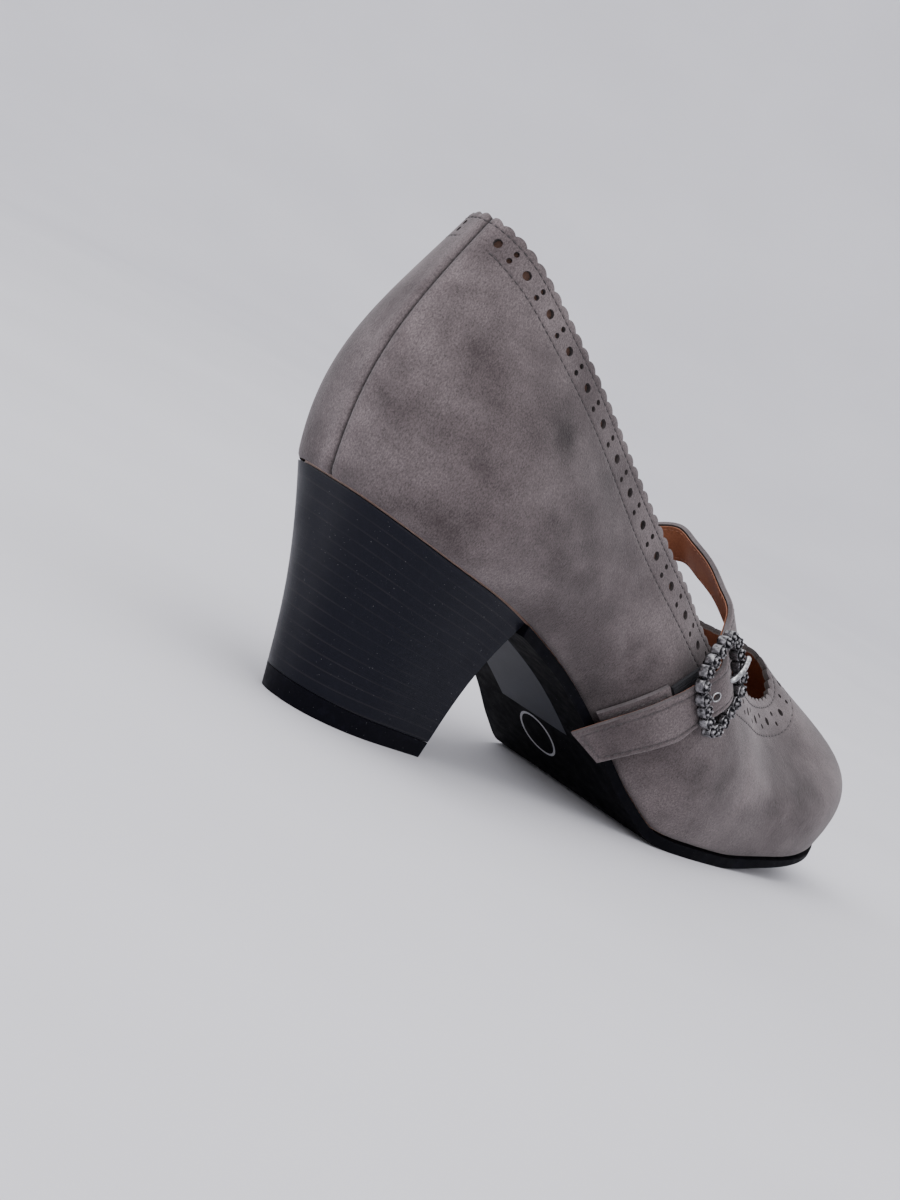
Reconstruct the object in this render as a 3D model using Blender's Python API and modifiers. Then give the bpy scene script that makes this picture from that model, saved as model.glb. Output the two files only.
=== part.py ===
"""Dirndl pump, right shoe: suede upper, thin outsole, block heel and buckled strap.

Frame, in metres: +Z up, toe towards +Y, outer side of the foot towards +X.
The origin is the middle of the heel's floor face, and the shoe stands on heel and forefoot.
"""
import math

import bmesh
import bpy
import numpy as np

# Driving dimensions of the last
LENGTH = 0.246
BALL_WIDTH = 0.074
SEAT_HEIGHT = 0.057
BACK_HEIGHT = 0.080
UPPER_WALL = 0.0018

# Sole and insole
SOLE_THICKNESS = 0.0035
SOLE_MARGIN = 0.0008
INSOLE_THICKNESS = 0.0025

# Heel
HEEL_RAKE = 0.021
BREAST_SHARE = 0.235
HEEL_FLOOR_LENGTH = 0.039
HEEL_FLOOR_WIDTH = 0.034
TOP_PIECE_HEIGHT = 0.006
HEEL_INSET = 0.0005
HEEL_HOLLOW = 0.0016
HEEL_ROUND_SHARE = 0.62
HEEL_ROUND_POWER = 2.3

# Strap, tab and elastic
STRAP_WIDTH = 0.013
STRAP_THICKNESS = 0.0020
STRAP_TILT = math.radians(42)
STRAP_CROSSING = 0.435
STRAP_HIDDEN = 0.014
HIDDEN_SHARES = (1.0, 0.6, 0.2)
STRAP_TAIL_PAST_FEATHER = 0.006
STRAP_LEAVES_WALL = 0.006
STRAP_END_SLANT = 0.2
STRAP_CROWN = 0.021
TAB_WIDTH = 0.014
TAB_THICKNESS = 0.0016
TAB_BACK_SHIFT = 0.0012
TAB_LENGTH = 0.019
ELASTIC_WIDTH = 0.012
ELASTIC_THICKNESS = 0.0010
ELASTIC_BEND = 0.65

# Buckle
BUCKLE_LENGTH = 0.025
BUCKLE_WIDTH = 0.0245
BUCKLE_RIM = 0.0032
BUCKLE_BAR = 0.0018
BUCKLE_BAR_DROP = 0.0012
BUCKLE_FROM_FEATHER = 0.032
RIM_SQUARENESS = 0.5
PRONG = 0.0017
PRONG_HOLE_PLACE = 0.0027
PRONG_CLEARANCE = 0.00065
PUNCH_REACH = 0.006

# Clearances
GAP = 0.00035
LAID_GAP = 0.0006
RIM_SLACK = 0.0010

# Sections around the upper, from the back along the outer side to the toe and home along the
# inner side. foot_y and edge_y: place along the shoe, share of LENGTH. foot_x and edge_x: place
# across, share of BALL_WIDTH. The foot is the feather line, the edge is the topline. rise: edge
# above the sole there. The rest are the section's swell near the foot and near the edge, outward
# and upward. rise and the swells are shares of BACK_HEIGHT.
SECTION_COLUMNS = ("foot_y", "foot_x", "edge_y", "edge_x", "rise", "foot_out", "foot_up", "edge_out", "edge_up")
SECTIONS = {
    "back": (0.010, 0.00, 0.050, 0.00, 0.95, 0.10, 0.38, 0.14, 0.35),
    "back_outer": (0.022, 0.20, 0.072, 0.165, 0.925, 0.10, 0.36, 0.12, 0.35),
    "heel_outer": (0.092, 0.38, 0.130, 0.245, 0.85, 0.11, 0.33, 0.11, 0.33),
    "seat_outer": (0.200, 0.42, 0.220, 0.31, 0.73, 0.14, 0.29, 0.10, 0.30),
    "waist_outer": (0.330, 0.39, 0.335, 0.35, 0.62, 0.11, 0.26, 0.07, 0.26),
    "arch_outer": (0.460, 0.38, 0.445, 0.37, 0.595, 0.12, 0.24, 0.10, 0.20),
    "ball_outer": (0.600, 0.46, 0.585, 0.35, 0.60, 0.13, 0.25, 0.17, 0.20),
    "toe_outer": (0.740, 0.44, 0.715, 0.20, 0.525, 0.07, 0.27, 0.22, 0.25),
    "tip_outer": (0.890, 0.35, 0.798, 0.07, 0.50, 0.075, 0.29, 0.33, 0.26),
    "tip": (0.995, 0.02, 0.829, -0.055, 0.555, 0.10, 0.33, 0.44, 0.17),
    "tip_inner": (0.950, -0.32, 0.818, -0.160, 0.61, 0.09, 0.33, 0.44, 0.12),
    "toe_inner": (0.800, -0.46, 0.730, -0.255, 0.66, 0.08, 0.28, 0.35, 0.11),
    "ball_inner": (0.675, -0.50, 0.590, -0.33, 0.72, 0.10, 0.26, 0.20, 0.15),
    "arch_inner": (0.512, -0.35, 0.450, -0.36, 0.68, 0.12, 0.26, 0.10, 0.20),
    "waist_inner": (0.362, -0.31, 0.325, -0.37, 0.70, 0.12, 0.26, 0.07, 0.26),
    "seat_inner": (0.210, -0.39, 0.203, -0.35, 0.79, 0.12, 0.30, 0.10, 0.30),
    "heel_inner": (0.085, -0.34, 0.125, -0.255, 0.89, 0.13, 0.32, 0.12, 0.33),
    "back_inner": (0.020, -0.20, 0.070, -0.165, 0.935, 0.09, 0.37, 0.13, 0.35),
}

# Height of the sole's upper face, from tread to seat. y: share of LENGTH. height: 0 at the
# tread, 1 at the back of the seat.
PROFILE = {
    "seat_back": (0.00, 1.00),
    "seat_middle": (0.10, 0.90),
    "seat_front": (0.20, 0.81),
    "breast": (0.28, 0.70),
    "waist_top": (0.36, 0.56),
    "waist": (0.45, 0.34),
    "waist_foot": (0.52, 0.13),
    "tread_start": (0.58, 0.01),
    "tread_flat": (0.61, 0.00),
    "tread_end": (0.70, 0.00),
    "spring_start": (0.80, 0.05),
    "spring": (0.90, 0.11),
    "toe": (1.00, 0.20),
}

# The strap's arch between the inner topline and the buckle. along: share of the straight line
# between them. height: above that line, share of STRAP_CROWN.
ARCH = {
    "leaving_edge": (-0.020, 0.46),
    "inner_turn": (-0.005, 0.74),
    "shoulder": (0.11, 0.99),
    "crown": (0.28, 0.93),
    "middle": (0.47, 0.82),
    "outer": (0.66, 0.63),
    "over_edge": (0.84, 0.42),
}

# Thickness of the outsole, share of SOLE_THICKNESS. y: share of LENGTH.
SOLE_TAPER = {
    "waist": (0.60, 1.00),
    "tread_end": (0.71, 1.00),
    "spring_start": (0.80, 0.80),
    "spring": (0.90, 0.50),
    "toe": (1.00, 0.36),
}

# How many steps each form is cut into
AROUND = 96
UP = 10
SOLE_ROWS = 40
ACROSS = 5
HEEL_ROWS = 14
HEEL_LEVELS = 6
FINE = 480
FINE_UP = 24
FINE_ENDS = 8
TAIL_STEPS = 4
STRAP_STEPS = 64
TAB_STEPS = 8
ELASTIC_STEPS = 10
RIM_STEPS = 32
PRONG_STEPS = 18

BACK_Y = -(HEEL_FLOOR_LENGTH / 2 + HEEL_RAKE)
STRAP_ALONG = np.array([0.0, math.cos(STRAP_TILT), -math.sin(STRAP_TILT)])
STRAP_UP = np.array([0.0, math.sin(STRAP_TILT), math.cos(STRAP_TILT)])

COLOURS = {
    "suede": ((0.24, 0.21, 0.20), 0.95, 0.0),
    "insole_leather": ((0.62, 0.47, 0.40), 0.6, 0.0),
    "sole_black": ((0.015, 0.015, 0.018), 0.55, 0.0),
    "heel_black": ((0.02, 0.02, 0.026), 0.3, 0.0),
    "elastic_black": ((0.012, 0.012, 0.013), 0.9, 0.0),
    "old_silver": ((0.33, 0.32, 0.31), 0.35, 1.0),
}


def clear_scene():
    for item in list(bpy.data.objects):
        bpy.data.objects.remove(item)


def new_collection(name):
    collection = bpy.data.collections.new(name)
    bpy.context.scene.collection.children.link(collection)
    return collection


def material(name):
    colour, roughness, metallic = COLOURS[name]
    made = bpy.data.materials.new(name)
    made.use_nodes = True
    shader = made.node_tree.nodes["Principled BSDF"]
    shader.inputs["Base Color"].default_value = (*colour, 1.0)
    shader.inputs["Roughness"].default_value = roughness
    shader.inputs["Metallic"].default_value = metallic
    return made


def add_mesh(name, points, faces, finish, collection):
    """An object from points and faces, with its faces turned out and shaded smooth."""
    mesh = bpy.data.meshes.new(name)
    mesh.from_pydata([tuple(map(float, point)) for point in points], [], faces)
    edit = bmesh.new()
    edit.from_mesh(mesh)
    bmesh.ops.recalc_face_normals(edit, faces=edit.faces)
    edit.to_mesh(mesh)
    edit.free()
    mesh.shade_smooth()
    mesh.set_sharp_from_angle(angle=math.radians(35))
    made = bpy.data.objects.new(name, mesh)
    collection.objects.link(made)
    made.data.materials.append(finish)
    return made


def closed_spline(rows, count):
    """Samples a closed cubic spline through rows, with even steps from row to row."""
    rows = np.asarray(rows)
    size = len(rows)
    system = 4 * np.eye(size) + np.roll(np.eye(size), 1, 1) + np.roll(np.eye(size), -1, 1)
    slopes = np.linalg.solve(system, 3 * (np.roll(rows, -1, 0) - np.roll(rows, 1, 0)))
    place = np.arange(count) * size / count
    start = place.astype(int)
    end = (start + 1) % size
    share = (place - start)[:, None]
    return (
        (2 * share**3 - 3 * share**2 + 1) * rows[start]
        + (share**3 - 2 * share**2 + share) * slopes[start]
        + (3 * share**2 - 2 * share**3) * rows[end]
        + (share**3 - share**2) * slopes[end]
    )


def steady_curve(x, xs, ys):
    """A cubic through a table that never overshoots its rows."""
    steps = np.diff(xs)
    rises = np.diff(ys) / steps
    slopes = np.zeros(len(xs))
    for i in range(1, len(xs) - 1):
        if rises[i - 1] * rises[i] > 0:
            before = 2 * steps[i] + steps[i - 1]
            after = steps[i] + 2 * steps[i - 1]
            slopes[i] = (before + after) / (before / rises[i - 1] + after / rises[i])
    slopes[0] = rises[0]
    slopes[-1] = rises[-1]
    x = np.clip(x, xs[0], xs[-1])
    i = np.clip(np.searchsorted(xs, x, side="right") - 1, 0, len(xs) - 2)
    share = (x - xs[i]) / steps[i]
    return (
        (2 * share**3 - 3 * share**2 + 1) * ys[i]
        + (share**3 - 2 * share**2 + share) * slopes[i] * steps[i]
        + (3 * share**2 - 2 * share**3) * ys[i + 1]
        + (share**3 - share**2) * slopes[i + 1] * steps[i]
    )


def open_curve(points, count):
    """Samples a smooth curve through points, evenly along its length."""
    points = np.asarray(points, float)
    padded = np.vstack([2 * points[0] - points[1], points, 2 * points[-1] - points[-2]])
    dense = []
    for i in range(1, len(padded) - 2):
        before, start, end, after = padded[i - 1:i + 3]
        for share in np.linspace(0, 1, 24, endpoint=False):
            dense.append(0.5 * (
                2 * start
                + (end - before) * share
                + (2 * before - 5 * start + 4 * end - after) * share**2
                + (3 * start - before - 3 * end + after) * share**3
            ))
    dense.append(points[-1])
    dense = np.array(dense)
    run = np.concatenate([[0], np.cumsum(np.linalg.norm(np.diff(dense, axis=0), axis=1))])
    wanted = np.linspace(0, run[-1], count)
    return np.stack([np.interp(wanted, run, dense[:, k]) for k in range(points.shape[1])], 1)


def sole_top(y):
    """Height of the feather line over the floor at a place along the shoe."""
    table = np.array(list(PROFILE.values()))
    share = steady_curve((np.asarray(y) - BACK_Y) / LENGTH, table[:, 0], table[:, 1])
    return share * (SEAT_HEIGHT - SOLE_THICKNESS) + SOLE_THICKNESS


def upper_surface(around, up):
    """The upper's outer face: one curved section for each step around, from feather to topline."""
    rows = closed_spline(list(SECTIONS.values()), around)
    value = {name: rows[:, k] for k, name in enumerate(SECTION_COLUMNS)}
    foot_y = value["foot_y"] * LENGTH + BACK_Y
    edge_y = value["edge_y"] * LENGTH + BACK_Y
    foot = np.stack([value["foot_x"] * BALL_WIDTH, foot_y, sole_top(foot_y)], 1)
    edge_z = sole_top(edge_y) + value["rise"] * BACK_HEIGHT
    edge = np.stack([value["edge_x"] * BALL_WIDTH, edge_y, edge_z], 1)
    run = np.roll(foot, -1, 0) - np.roll(foot, 1, 0)
    out = np.stack([run[:, 1], -run[:, 0], 0 * run[:, 0]], 1)
    out /= np.linalg.norm(out, axis=1)[:, None]
    rise = np.array([0, 0, BACK_HEIGHT])
    low = foot + out * value["foot_out"][:, None] * BACK_HEIGHT + value["foot_up"][:, None] * rise
    high = edge + out * value["edge_out"][:, None] * BACK_HEIGHT - value["edge_up"][:, None] * rise
    share = np.linspace(0, 1, up + 1)[None, :, None]
    return (
        (1 - share)**3 * foot[:, None]
        + 3 * share * (1 - share)**2 * low[:, None]
        + 3 * share**2 * (1 - share) * high[:, None]
        + share**3 * edge[:, None]
    )


FINE_UPPER = upper_surface(FINE, FINE_UP)
STRAP_FOOT_Y = BACK_Y + STRAP_CROSSING * LENGTH
STRAP_PLACE = STRAP_ALONG[1] * STRAP_FOOT_Y + STRAP_ALONG[2] * float(sole_top(STRAP_FOOT_Y))


def feather_sides(y, margin):
    """Inner and outer x of the feather line at a place along the shoe, moved out by a margin."""
    line = FINE_UPPER[:, 0]
    run = np.roll(line, -1, 0) - np.roll(line, 1, 0)
    out = np.stack([run[:, 1], -run[:, 0]], 1)
    out /= np.linalg.norm(out, axis=1)[:, None]
    line = line[:, :2] + out * margin
    back = int(np.argmin(line[:, 1]))
    line = np.roll(line, -back, 0)
    toe = int(np.argmax(line[:, 1]))
    outer = line[:toe + 1]
    inner = np.vstack([line[toe:], line[:1]])[::-1]
    outer_x = np.interp(y, np.maximum.accumulate(outer[:, 1]), outer[:, 0])
    inner_x = np.interp(y, np.maximum.accumulate(inner[:, 1]), inner[:, 0])
    return inner_x, outer_x, outer[0, 1], outer[-1, 1]


def insole_thickness(y):
    return np.full_like(y, INSOLE_THICKNESS)


def outsole_thickness(y):
    """The outsole under its gap to the upper, thinner towards the toe."""
    table = np.array(list(SOLE_TAPER.values()))
    return (SOLE_THICKNESS - GAP) * steady_curve((y - BACK_Y) / LENGTH, table[:, 0], table[:, 1])


def shoe_plate(name, start, margin, top_lift, thickness, finish, collection):
    """A plate under the foot: rows across the shoe, from start (or the back) to the toe."""
    _, _, back, toe = feather_sides(0.0, margin)
    closed_back = start is None
    first = back if closed_back else start
    turn = np.linspace(0 if closed_back else math.pi / 2, math.pi, SOLE_ROWS + 1)
    share = (1 - np.cos(turn)) / 2 if closed_back else -np.cos(turn)
    ys = first + (toe - first) * share
    inner, outer, _, _ = feather_sides(ys, margin)
    thick = thickness(ys)
    points = []
    rows = []
    for i, y in enumerate(ys):
        pointed = i == SOLE_ROWS or (closed_back and i == 0)
        xs = [(inner[i] + outer[i]) / 2] if pointed else np.linspace(inner[i], outer[i], ACROSS + 1)
        row = []
        for x in xs:
            row.append(len(points))
            points.append((x, y, sole_top(y) + top_lift))
            points.append((x, y, sole_top(y) + top_lift - thick[i]))
        rows.append(row)
    faces = []
    for low, high in zip(rows, rows[1:]):
        for k in range(ACROSS):
            corners = [low[min(k, len(low) - 1)], low[min(k + 1, len(low) - 1)]]
            corners += [high[min(k + 1, len(high) - 1)], high[min(k, len(high) - 1)]]
            ring = list(dict.fromkeys(corners))
            faces.append(ring)
            faces.append([corner + 1 for corner in reversed(ring)])
        for a, b in ((low[0], high[0]), (high[-1], low[-1])):
            faces.append([a, b, b + 1, a + 1])
    if not closed_back:
        for a, b in zip(rows[0][1:], rows[0]):
            faces.append([a, b, b + 1, a + 1])
    return add_mesh(name, points, faces, finish, collection)


def floor_outline(share):
    """Half width of the heel's D shape at a share of its length, rounded at the back."""
    from_round = 1 - np.minimum(share / HEEL_ROUND_SHARE, 1)
    return HEEL_FLOOR_WIDTH / 2 * (1 - from_round**HEEL_ROUND_POWER)**(1 / HEEL_ROUND_POWER)


def heel_rows():
    """Even turns of the heel's rounded back, as shares of its length."""
    return np.sin(np.linspace(0, math.pi / 2, HEEL_ROWS + 1))**2


def heel_ring(level):
    """Points round the heel at a level from 0, the floor, to 1, the seat."""
    shares = heel_rows()
    _, _, back, _ = feather_sides(0.0, -HEEL_INSET)
    breast = BACK_Y + BREAST_SHARE * LENGTH
    seat_y = back + (breast - back) * shares
    inner, outer, _, _ = feather_sides(seat_y, -HEEL_INSET)
    seat_z = sole_top(seat_y) - GAP
    floor_y = -HEEL_FLOOR_LENGTH / 2 + HEEL_FLOOR_LENGTH * shares
    half = floor_outline(shares)
    hollow = HEEL_HOLLOW * math.sin(math.pi * level)
    ring = []
    for side, seat_x in ((1, outer), (-1, inner)):
        order = range(HEEL_ROWS + 1) if side == 1 else range(HEEL_ROWS, 0, -1)
        for i in order:
            x = side * half[i] * (1 - level) + seat_x[i] * level
            y = floor_y[i] * (1 - level) + seat_y[i] * level
            z = seat_z[i] * level
            if i == 0:
                x = (outer[0] + inner[0]) / 2 * level
            pull = 1 - 2 * hollow / HEEL_FLOOR_WIDTH
            y_pull = hollow * (1 - shares[i])
            ring.append((x * pull, y + y_pull, z))
    return ring


def heel_solid(name, low, high, steps, drop, finish, collection):
    """A stack of heel rings from one level to another, closed by ladders of faces."""
    levels = np.linspace(low, high, steps + 1)
    size = 2 * HEEL_ROWS + 1
    points = []
    for level in levels:
        ring = heel_ring(level)
        for x, y, z in ring:
            points.append((x, y, z - (drop if level == levels[-1] else 0)))
    faces = []
    for k in range(len(levels) - 1):
        for i in range(size):
            j = (i + 1) % size
            faces.append([k * size + i, k * size + j, (k + 1) * size + j, (k + 1) * size + i])
    for base, flip in ((0, True), ((len(levels) - 1) * size, False)):
        for i in range(HEEL_ROWS):
            low_pair = (base + i, base + (size - i) % size)
            high_pair = (base + i + 1, base + size - i - 1)
            ring = list(dict.fromkeys([low_pair[0], high_pair[0], high_pair[1], low_pair[1]]))
            faces.append(ring[::-1] if flip else ring)
    return add_mesh(name, points, faces, finish, collection)


def side_profile(offset, side):
    """The upper's outer face where a plane across the strap cuts one side of it.

    Rows of (x, height along the strap's plane), from feather to topline.
    """
    place = FINE_UPPER @ STRAP_ALONG - (STRAP_PLACE + offset)
    found = []
    half = FINE // 2
    if side == 1:
        columns = range(FINE_ENDS, half - FINE_ENDS)
    else:
        columns = range(FINE - FINE_ENDS, half + FINE_ENDS, -1)
    step = 1 if side == 1 else -1
    for k in range(FINE_UP + 1):
        for i in columns:
            here = place[i, k]
            there = place[i + step, k]
            if here <= 0 < there:
                share = -here / (there - here)
                point = FINE_UPPER[i, k] * (1 - share) + FINE_UPPER[i + step, k] * share
                found.append((point[0], point @ STRAP_UP))
                break
    return np.array(found)


def beside(profile, height, stand_off):
    """A point square off the upper's outer face at a height of the strap's plane."""
    x = np.interp(height, profile[:, 1], profile[:, 0])
    lean = np.interp(height, profile[:, 1], np.gradient(profile[:, 0], profile[:, 1]))
    square = np.array([1.0, -lean]) * np.sign(profile[0, 0]) / math.hypot(1.0, lean)
    return np.array([x, height]) + square * stand_off


LAID_TAB = LAID_GAP + TAB_THICKNESS / 2
LAID_STRAP = LAID_GAP + TAB_THICKNESS + LAID_GAP + STRAP_THICKNESS / 2
RIM_HEIGHT = LAID_STRAP + STRAP_THICKNESS / 2 + RIM_SLACK + BUCKLE_RIM / 2
BAR_HEIGHT = RIM_HEIGHT - BUCKLE_BAR_DROP
STRAP_OVER_BAR = BAR_HEIGHT + BUCKLE_BAR / 2 + GAP + STRAP_THICKNESS / 2
RIM_REACH = (BUCKLE_LENGTH - BUCKLE_RIM) / 2


def buckle_frame_axes():
    """Centre of the buckle's rim plane and its two directions in the strap's plane.

    Each end of the buckle stands off whichever part of the upper bulges most under the strap.
    """
    profiles = [side_profile(offset, 1) for offset in (-STRAP_WIDTH / 2, 0.0, STRAP_WIDTH / 2)]
    middle = profiles[1][0, 1] + BUCKLE_FROM_FEATHER
    ends = []
    for height in (middle - RIM_REACH, middle + RIM_REACH):
        ends.append(max((beside(profile, height, RIM_HEIGHT) for profile in profiles), key=lambda end: end[0]))
    low, high = ends
    towards_arch = (high - low) / np.linalg.norm(high - low)
    outward = np.array([towards_arch[1], -towards_arch[0]])
    return (low + high) / 2, towards_arch, outward


def middle_feather():
    """Height of the feather line in the strap's middle plane, on the outer side."""
    return side_profile(0.0, 1)[0, 1]


def strap_edge(offset):
    """Middle line of one edge of the strap, in its own plane: hidden end, arch, buckle, tail."""
    outer = side_profile(offset, 1)
    inner = side_profile(offset, -1)
    centre, towards_arch, outward = buckle_frame_axes()
    under_rim = STRAP_THICKNESS / 2 + RIM_SLACK + BUCKLE_RIM / 2
    over_bar = STRAP_OVER_BAR - RIM_HEIGHT
    arch_rim = centre + towards_arch * RIM_REACH - outward * under_rim
    tail_rim = centre - towards_arch * RIM_REACH - outward * under_rim
    on_bar = centre + outward * over_bar
    inside = UPPER_WALL + LAID_GAP + STRAP_THICKNESS / 2
    edge = inner[-1, 1]
    hidden = [beside(inner, edge - STRAP_HIDDEN * share, -inside) for share in HIDDEN_SHARES]
    leaving = beside(inner, edge, -inside)
    middle = side_profile(0.0, -1)
    arch_start = beside(middle, middle[-1, 1], -inside)
    line = arch_rim - arch_start
    across = np.array([-line[1], line[0]]) / np.linalg.norm(line)
    arch = [arch_start + line * along + across * height * STRAP_CROWN for along, height in ARCH.values()]
    feather = outer[0, 1]
    last_on_wall = tail_rim[1] - RIM_REACH / 2
    off_wall = feather + STRAP_LEAVES_WALL
    heights = np.linspace(last_on_wall, off_wall, TAIL_STEPS)
    tail = [beside(outer, height, LAID_STRAP) for height in heights]
    straight_on = (tail[-1] - tail[-2]) / np.linalg.norm(tail[-1] - tail[-2])
    end = tail[-1] + straight_on * (STRAP_LEAVES_WALL + STRAP_TAIL_PAST_FEATHER - STRAP_END_SLANT * offset)
    return hidden + [leaving] + arch + [arch_rim, on_bar, tail_rim] + tail + [end]


def strap_plane_point(x, height, offset):
    """A point of the model from its place in one of the planes across the strap."""
    return np.array([x, 0, 0]) + STRAP_UP * height + STRAP_ALONG * (STRAP_PLACE + offset)


def ribbon(name, lines, offsets, thickness, finish, collection):
    """A flat band whose lines lie in planes across the strap, one plane for each offset."""
    count = len(lines[0])
    size = len(lines)
    points = []
    for i in range(count):
        for line, offset in zip(lines, offsets):
            run = line[min(i + 1, count - 1)] - line[max(i - 1, 0)]
            run /= np.linalg.norm(run)
            normal = np.array([-run[1], run[0]])
            for sign in (1, -1):
                x, height = line[i] + normal * sign * thickness / 2
                points.append(strap_plane_point(x, height, offset))

    def corner(i, k, side):
        return (i * size + k) * 2 + side

    faces = []
    for i in range(count - 1):
        for k in range(size - 1):
            for side in (0, 1):
                faces.append([corner(i, k, side), corner(i + 1, k, side),
                              corner(i + 1, k + 1, side), corner(i, k + 1, side)])
        for k in (0, size - 1):
            faces.append([corner(i, k, 0), corner(i + 1, k, 0), corner(i + 1, k, 1), corner(i, k, 1)])
    for i in (0, count - 1):
        for k in range(size - 1):
            faces.append([corner(i, k, 0), corner(i, k + 1, 0), corner(i, k + 1, 1), corner(i, k, 1)])
    return add_mesh(name, points, faces, finish, collection)


def tube(name, points, radius, closed, sides, collection):
    """A round bar along points, made a mesh with welded caps."""
    curve = bpy.data.curves.new(name, "CURVE")
    curve.dimensions = "3D"
    curve.bevel_depth = radius
    curve.bevel_resolution = sides
    curve.use_fill_caps = not closed
    spline = curve.splines.new("POLY")
    spline.points.add(len(points) - 1)
    for place, point in zip(spline.points, points):
        place.co = (*point, 1.0)
    spline.use_cyclic_u = closed
    bent = bpy.data.objects.new(name, curve)
    collection.objects.link(bent)
    bpy.context.view_layer.update()
    mesh = bpy.data.meshes.new_from_object(bent.evaluated_get(bpy.context.evaluated_depsgraph_get()))
    bpy.data.objects.remove(bent)
    edit = bmesh.new()
    edit.from_mesh(mesh)
    bmesh.ops.remove_doubles(edit, verts=edit.verts, dist=0.000001)
    bmesh.ops.recalc_face_normals(edit, faces=edit.faces)
    edit.to_mesh(mesh)
    edit.free()
    mesh.shade_smooth()
    mesh.set_sharp_from_angle(angle=math.radians(50))
    made = bpy.data.objects.new(name, mesh)
    collection.objects.link(made)
    return made


def boolean(target, cutter, operation, cutters):
    """Adds an exact boolean, and puts the other form among the cutters."""
    step = target.modifiers.new(operation.lower(), "BOOLEAN")
    step.operation = operation
    step.object = cutter
    for collection in list(cutter.users_collection):
        collection.objects.unlink(cutter)
    cutters.objects.link(cutter)
    cutter.hide_render = True
    cutter.display_type = "WIRE"


def make_upper(collection, suede):
    surface = upper_surface(AROUND, UP)
    points = surface.reshape(-1, 3)
    faces = []
    for i in range(AROUND):
        j = (i + 1) % AROUND
        for k in range(UP):
            faces.append([i * (UP + 1) + k, j * (UP + 1) + k, j * (UP + 1) + k + 1, i * (UP + 1) + k + 1])
    mesh = bpy.data.meshes.new("upper")
    mesh.from_pydata([tuple(map(float, point)) for point in points], [], faces)
    mesh.shade_smooth()
    upper = bpy.data.objects.new("upper", mesh)
    collection.objects.link(upper)
    mesh.materials.append(suede)
    wall = upper.modifiers.new("wall", "SOLIDIFY")
    wall.thickness = UPPER_WALL
    wall.offset = -1
    wall.use_even_offset = True
    return upper


def make_strap(collection, cutters, suede):
    offsets = (-STRAP_WIDTH / 2, 0.0, STRAP_WIDTH / 2)
    lines = [open_curve(strap_edge(offset), STRAP_STEPS) for offset in offsets]
    strap = ribbon("strap", lines, offsets, STRAP_THICKNESS, suede, collection)
    centre, towards_arch, outward = buckle_frame_axes()
    hole = []
    for reach in (-PUNCH_REACH, PUNCH_REACH):
        place = centre + towards_arch * PRONG_HOLE_PLACE + outward * reach
        hole.append(strap_plane_point(*place, 0.0))
    punch = tube("prong_hole", hole, PRONG / 2 + PRONG_CLEARANCE, False, 3, cutters)
    boolean(strap, punch, "DIFFERENCE", cutters)
    return strap


def make_tab(collection, suede):
    offsets = [TAB_WIDTH * share - TAB_BACK_SHIFT for share in (-0.5, 0.0, 0.5)]
    lines = []
    for offset in offsets:
        profile = side_profile(offset, 1)
        heights = np.linspace(profile[0, 1] + TAB_THICKNESS, middle_feather() + TAB_LENGTH, TAB_STEPS)
        lines.append(np.array([beside(profile, height, LAID_TAB) for height in heights]))
    return ribbon("anchor_tab", lines, offsets, TAB_THICKNESS, suede, collection)


def make_elastic(collection, black):
    centre, towards_arch, outward = buckle_frame_axes()
    drop = BUCKLE_BAR_DROP + BUCKLE_BAR / 2 + GAP + ELASTIC_THICKNESS / 2
    under_bar = centre - outward * drop
    past_bar = under_bar + towards_arch * BUCKLE_BAR / 2
    offsets = [ELASTIC_WIDTH * share - TAB_BACK_SHIFT for share in (-0.5, 0.0, 0.5)]
    lines = []
    for offset in offsets:
        start = beside(side_profile(offset, 1), middle_feather() + TAB_LENGTH + GAP * 2, LAID_TAB)
        bend = start * (1 - ELASTIC_BEND) + under_bar * ELASTIC_BEND
        lines.append(open_curve([start, bend, under_bar, past_bar], ELASTIC_STEPS))
    return ribbon("elastic_loop", lines, offsets, ELASTIC_THICKNESS, black, collection)


def make_buckle_frame(collection, cutters, silver):
    centre, towards_arch, outward = buckle_frame_axes()
    half_width = (BUCKLE_WIDTH - BUCKLE_RIM) / 2
    path = []
    for turn in np.linspace(0, 2 * math.pi, RIM_STEPS, endpoint=False):
        along = math.copysign(abs(math.cos(turn))**RIM_SQUARENESS, math.cos(turn)) * RIM_REACH
        across = math.copysign(abs(math.sin(turn))**RIM_SQUARENESS, math.sin(turn)) * half_width
        path.append(strap_plane_point(*(centre + towards_arch * along), across))
    frame = tube("buckle_frame", path, BUCKLE_RIM / 2, True, 2, collection)
    frame.data.materials.append(silver)
    place = centre - outward * BUCKLE_BAR_DROP
    ends = [strap_plane_point(*place, side * half_width) for side in (-1, 1)]
    bar = tube("buckle_bar", ends, BUCKLE_BAR / 2, False, 2, cutters)
    boolean(frame, bar, "UNION", cutters)
    return frame


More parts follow.
